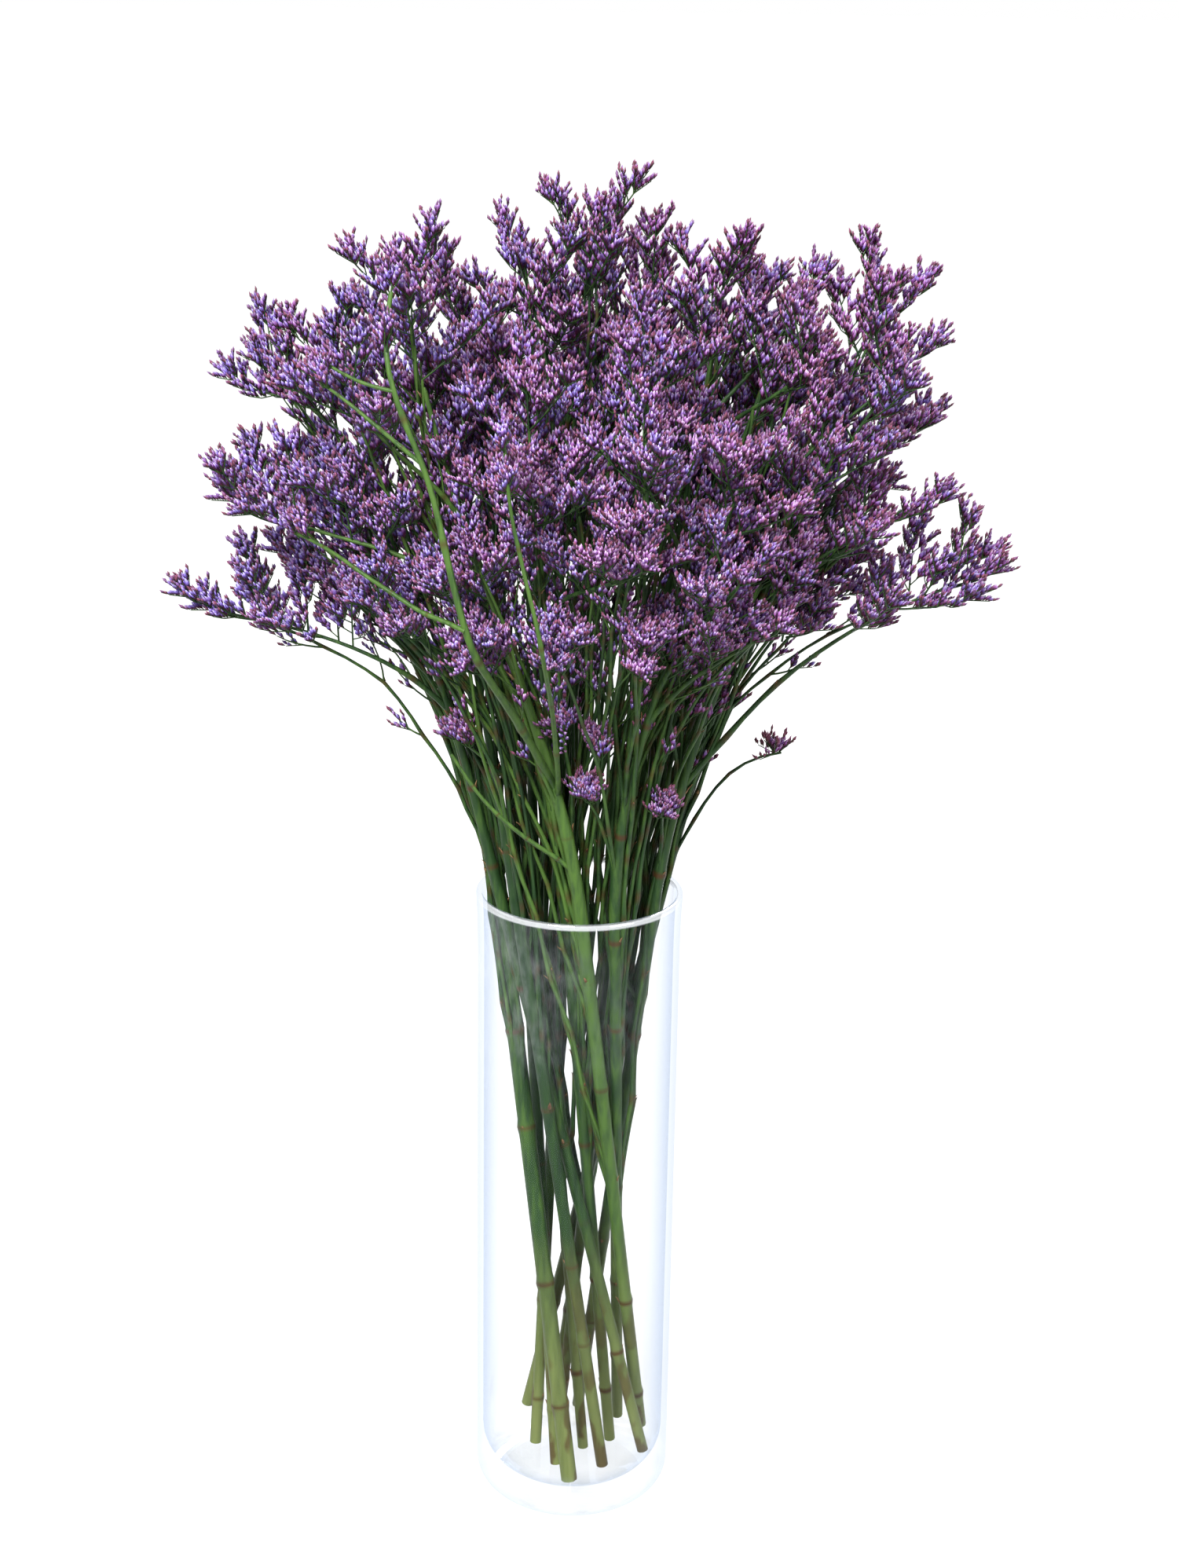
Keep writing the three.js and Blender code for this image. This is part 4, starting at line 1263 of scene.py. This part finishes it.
bud = makeBud()
tubes, rows = tubeTree(), floretTree()
pieces, knotScales = [], []
for i, stem in enumerate(bunch):
    wood, bloom = makeStem(i, stem, tubes, rows, bud, knotScales)
    pieces.append((wood, bloom, stem))
    print("stem", i + 1, "wood", triangles(wood), "bloom", triangles(bloom), "triangles")
bpy.data.objects.remove(bud)
scale = makeScale()
paperyScales = makeScales(scale, knotScales)
bpy.data.objects.remove(scale)
print("scales:", triangles(paperyScales), "triangles")
print("stems and blooms:", sum(triangles(wood, bloom) for wood, bloom, stem in pieces), "triangles")


# What rides on what

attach(vaseGlass, "root")
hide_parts("vase")
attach(paperyScales, "root")
for i, (wood, bloom, stem) in enumerate(pieces):
    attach(wood, "root")
    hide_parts(f"stem_{i + 1:02d}")
    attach(bloom, "root")
    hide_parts(*[spray["node"] for spray in stem["sprays"]])


# Floor, light and camera

studio = dict(
    floorSize=200.0, floorPale=0.95, floorGlow=0.8, glowStrength=1.25, bounce=0.17, sky=1.0, ambient=0.14,
    lightSize=1.1, lightsAim=(0, 0, 0.4), lights=dict(
        key=(100, (-0.7, -1.7, 2.1)), fill=(14, (1.6, -1.5, 0.9)), back=(42, (0.9, 1.9, 1.9))))

photoCamera = dict(
    distance=1.150, height=0.750, pitch=17.86, roll=0.89, turn=-0.2, focalPixels=3208, frameHeight=1996,
    sensor=36, nearest=0.05, furthest=50)


def grey(level):
    return (level, level, level)


def whiteButDimForDiffuse(tree, seen, lit):  # white to the eye and through glass, softer as a light
    diffuse = made(tree, "ShaderNodeLightPath", output="Is Diffuse Ray")
    return made(tree, "ShaderNodeMixShader", {0: diffuse, 1: seen, 2: lit})


def makeFloor():
    half = studio["floorSize"] / 2
    mesh = bpy.data.meshes.new("floor")
    corners = [(-half, -half, 0), (half, -half, 0), (half, half, 0), (-half, half, 0)]
    mesh.from_pydata(corners, [], [(0, 1, 2, 3)])
    material = bpy.data.materials.new("pale_floor")
    tree = emptyTree(material)
    matt = made(tree, "ShaderNodeBsdfDiffuse", {"Color": grey(studio["floorPale"])})
    glow = made(tree, "ShaderNodeEmission", {"Color": grey(1), "Strength": studio["glowStrength"]})
    seen = made(tree, "ShaderNodeMixShader", {0: studio["floorGlow"], 1: matt, 2: glow})
    lit = made(tree, "ShaderNodeBsdfDiffuse", {"Color": grey(studio["bounce"])})
    addNode(tree, "ShaderNodeOutputMaterial", {"Surface": whiteButDimForDiffuse(tree, seen, lit)})
    mesh.materials.append(material)
    floor = addObject("floor", mesh)


def makeWorld():
    world = bpy.data.worlds.new("studio")
    tree = emptyTree(world)
    seen, lit = (made(tree, "ShaderNodeBackground", {"Color": grey(1), "Strength": studio[strength]})
                 for strength in ("sky", "ambient"))
    addNode(tree, "ShaderNodeOutputWorld", {"Surface": whiteButDimForDiffuse(tree, seen, lit)})
    bpy.context.scene.world = world


def addLight(name, power, place):
    light = bpy.data.lights.new(name, "AREA")
    light.energy, light.size, light.shape = power, studio["lightSize"], "DISK"
    lamp = addObject(name, light)
    lamp.location = place
    lamp.rotation_euler = (Vector(studio["lightsAim"]) - Vector(place)).to_track_quat("-Z", "Y").to_euler()


def addCamera():
    p = photoCamera
    data = bpy.data.cameras.new("camera")
    data.sensor_fit = "AUTO"
    data.sensor_width = p["sensor"]
    data.lens = p["focalPixels"] / p["frameHeight"] * data.sensor_width
    data.clip_start, data.clip_end = p["nearest"], p["furthest"]
    camera = addObject("camera", data)
    camera.location = (0, -p["distance"], p["height"])
    looking = Euler((math.radians(90 - p["pitch"]), 0, math.radians(p["turn"])), "XYZ").to_matrix()
    rolled = looking @ Euler((0, 0, math.radians(p["roll"])), "XYZ").to_matrix()
    camera.rotation_euler = rolled.to_euler()
    bpy.context.scene.camera = camera


makeFloor()
for name, (power, place) in studio["lights"].items():
    addLight(name, power, place)
addCamera()
makeWorld()
bpy.context.scene.view_settings.view_transform = "Standard"
print("studio set")
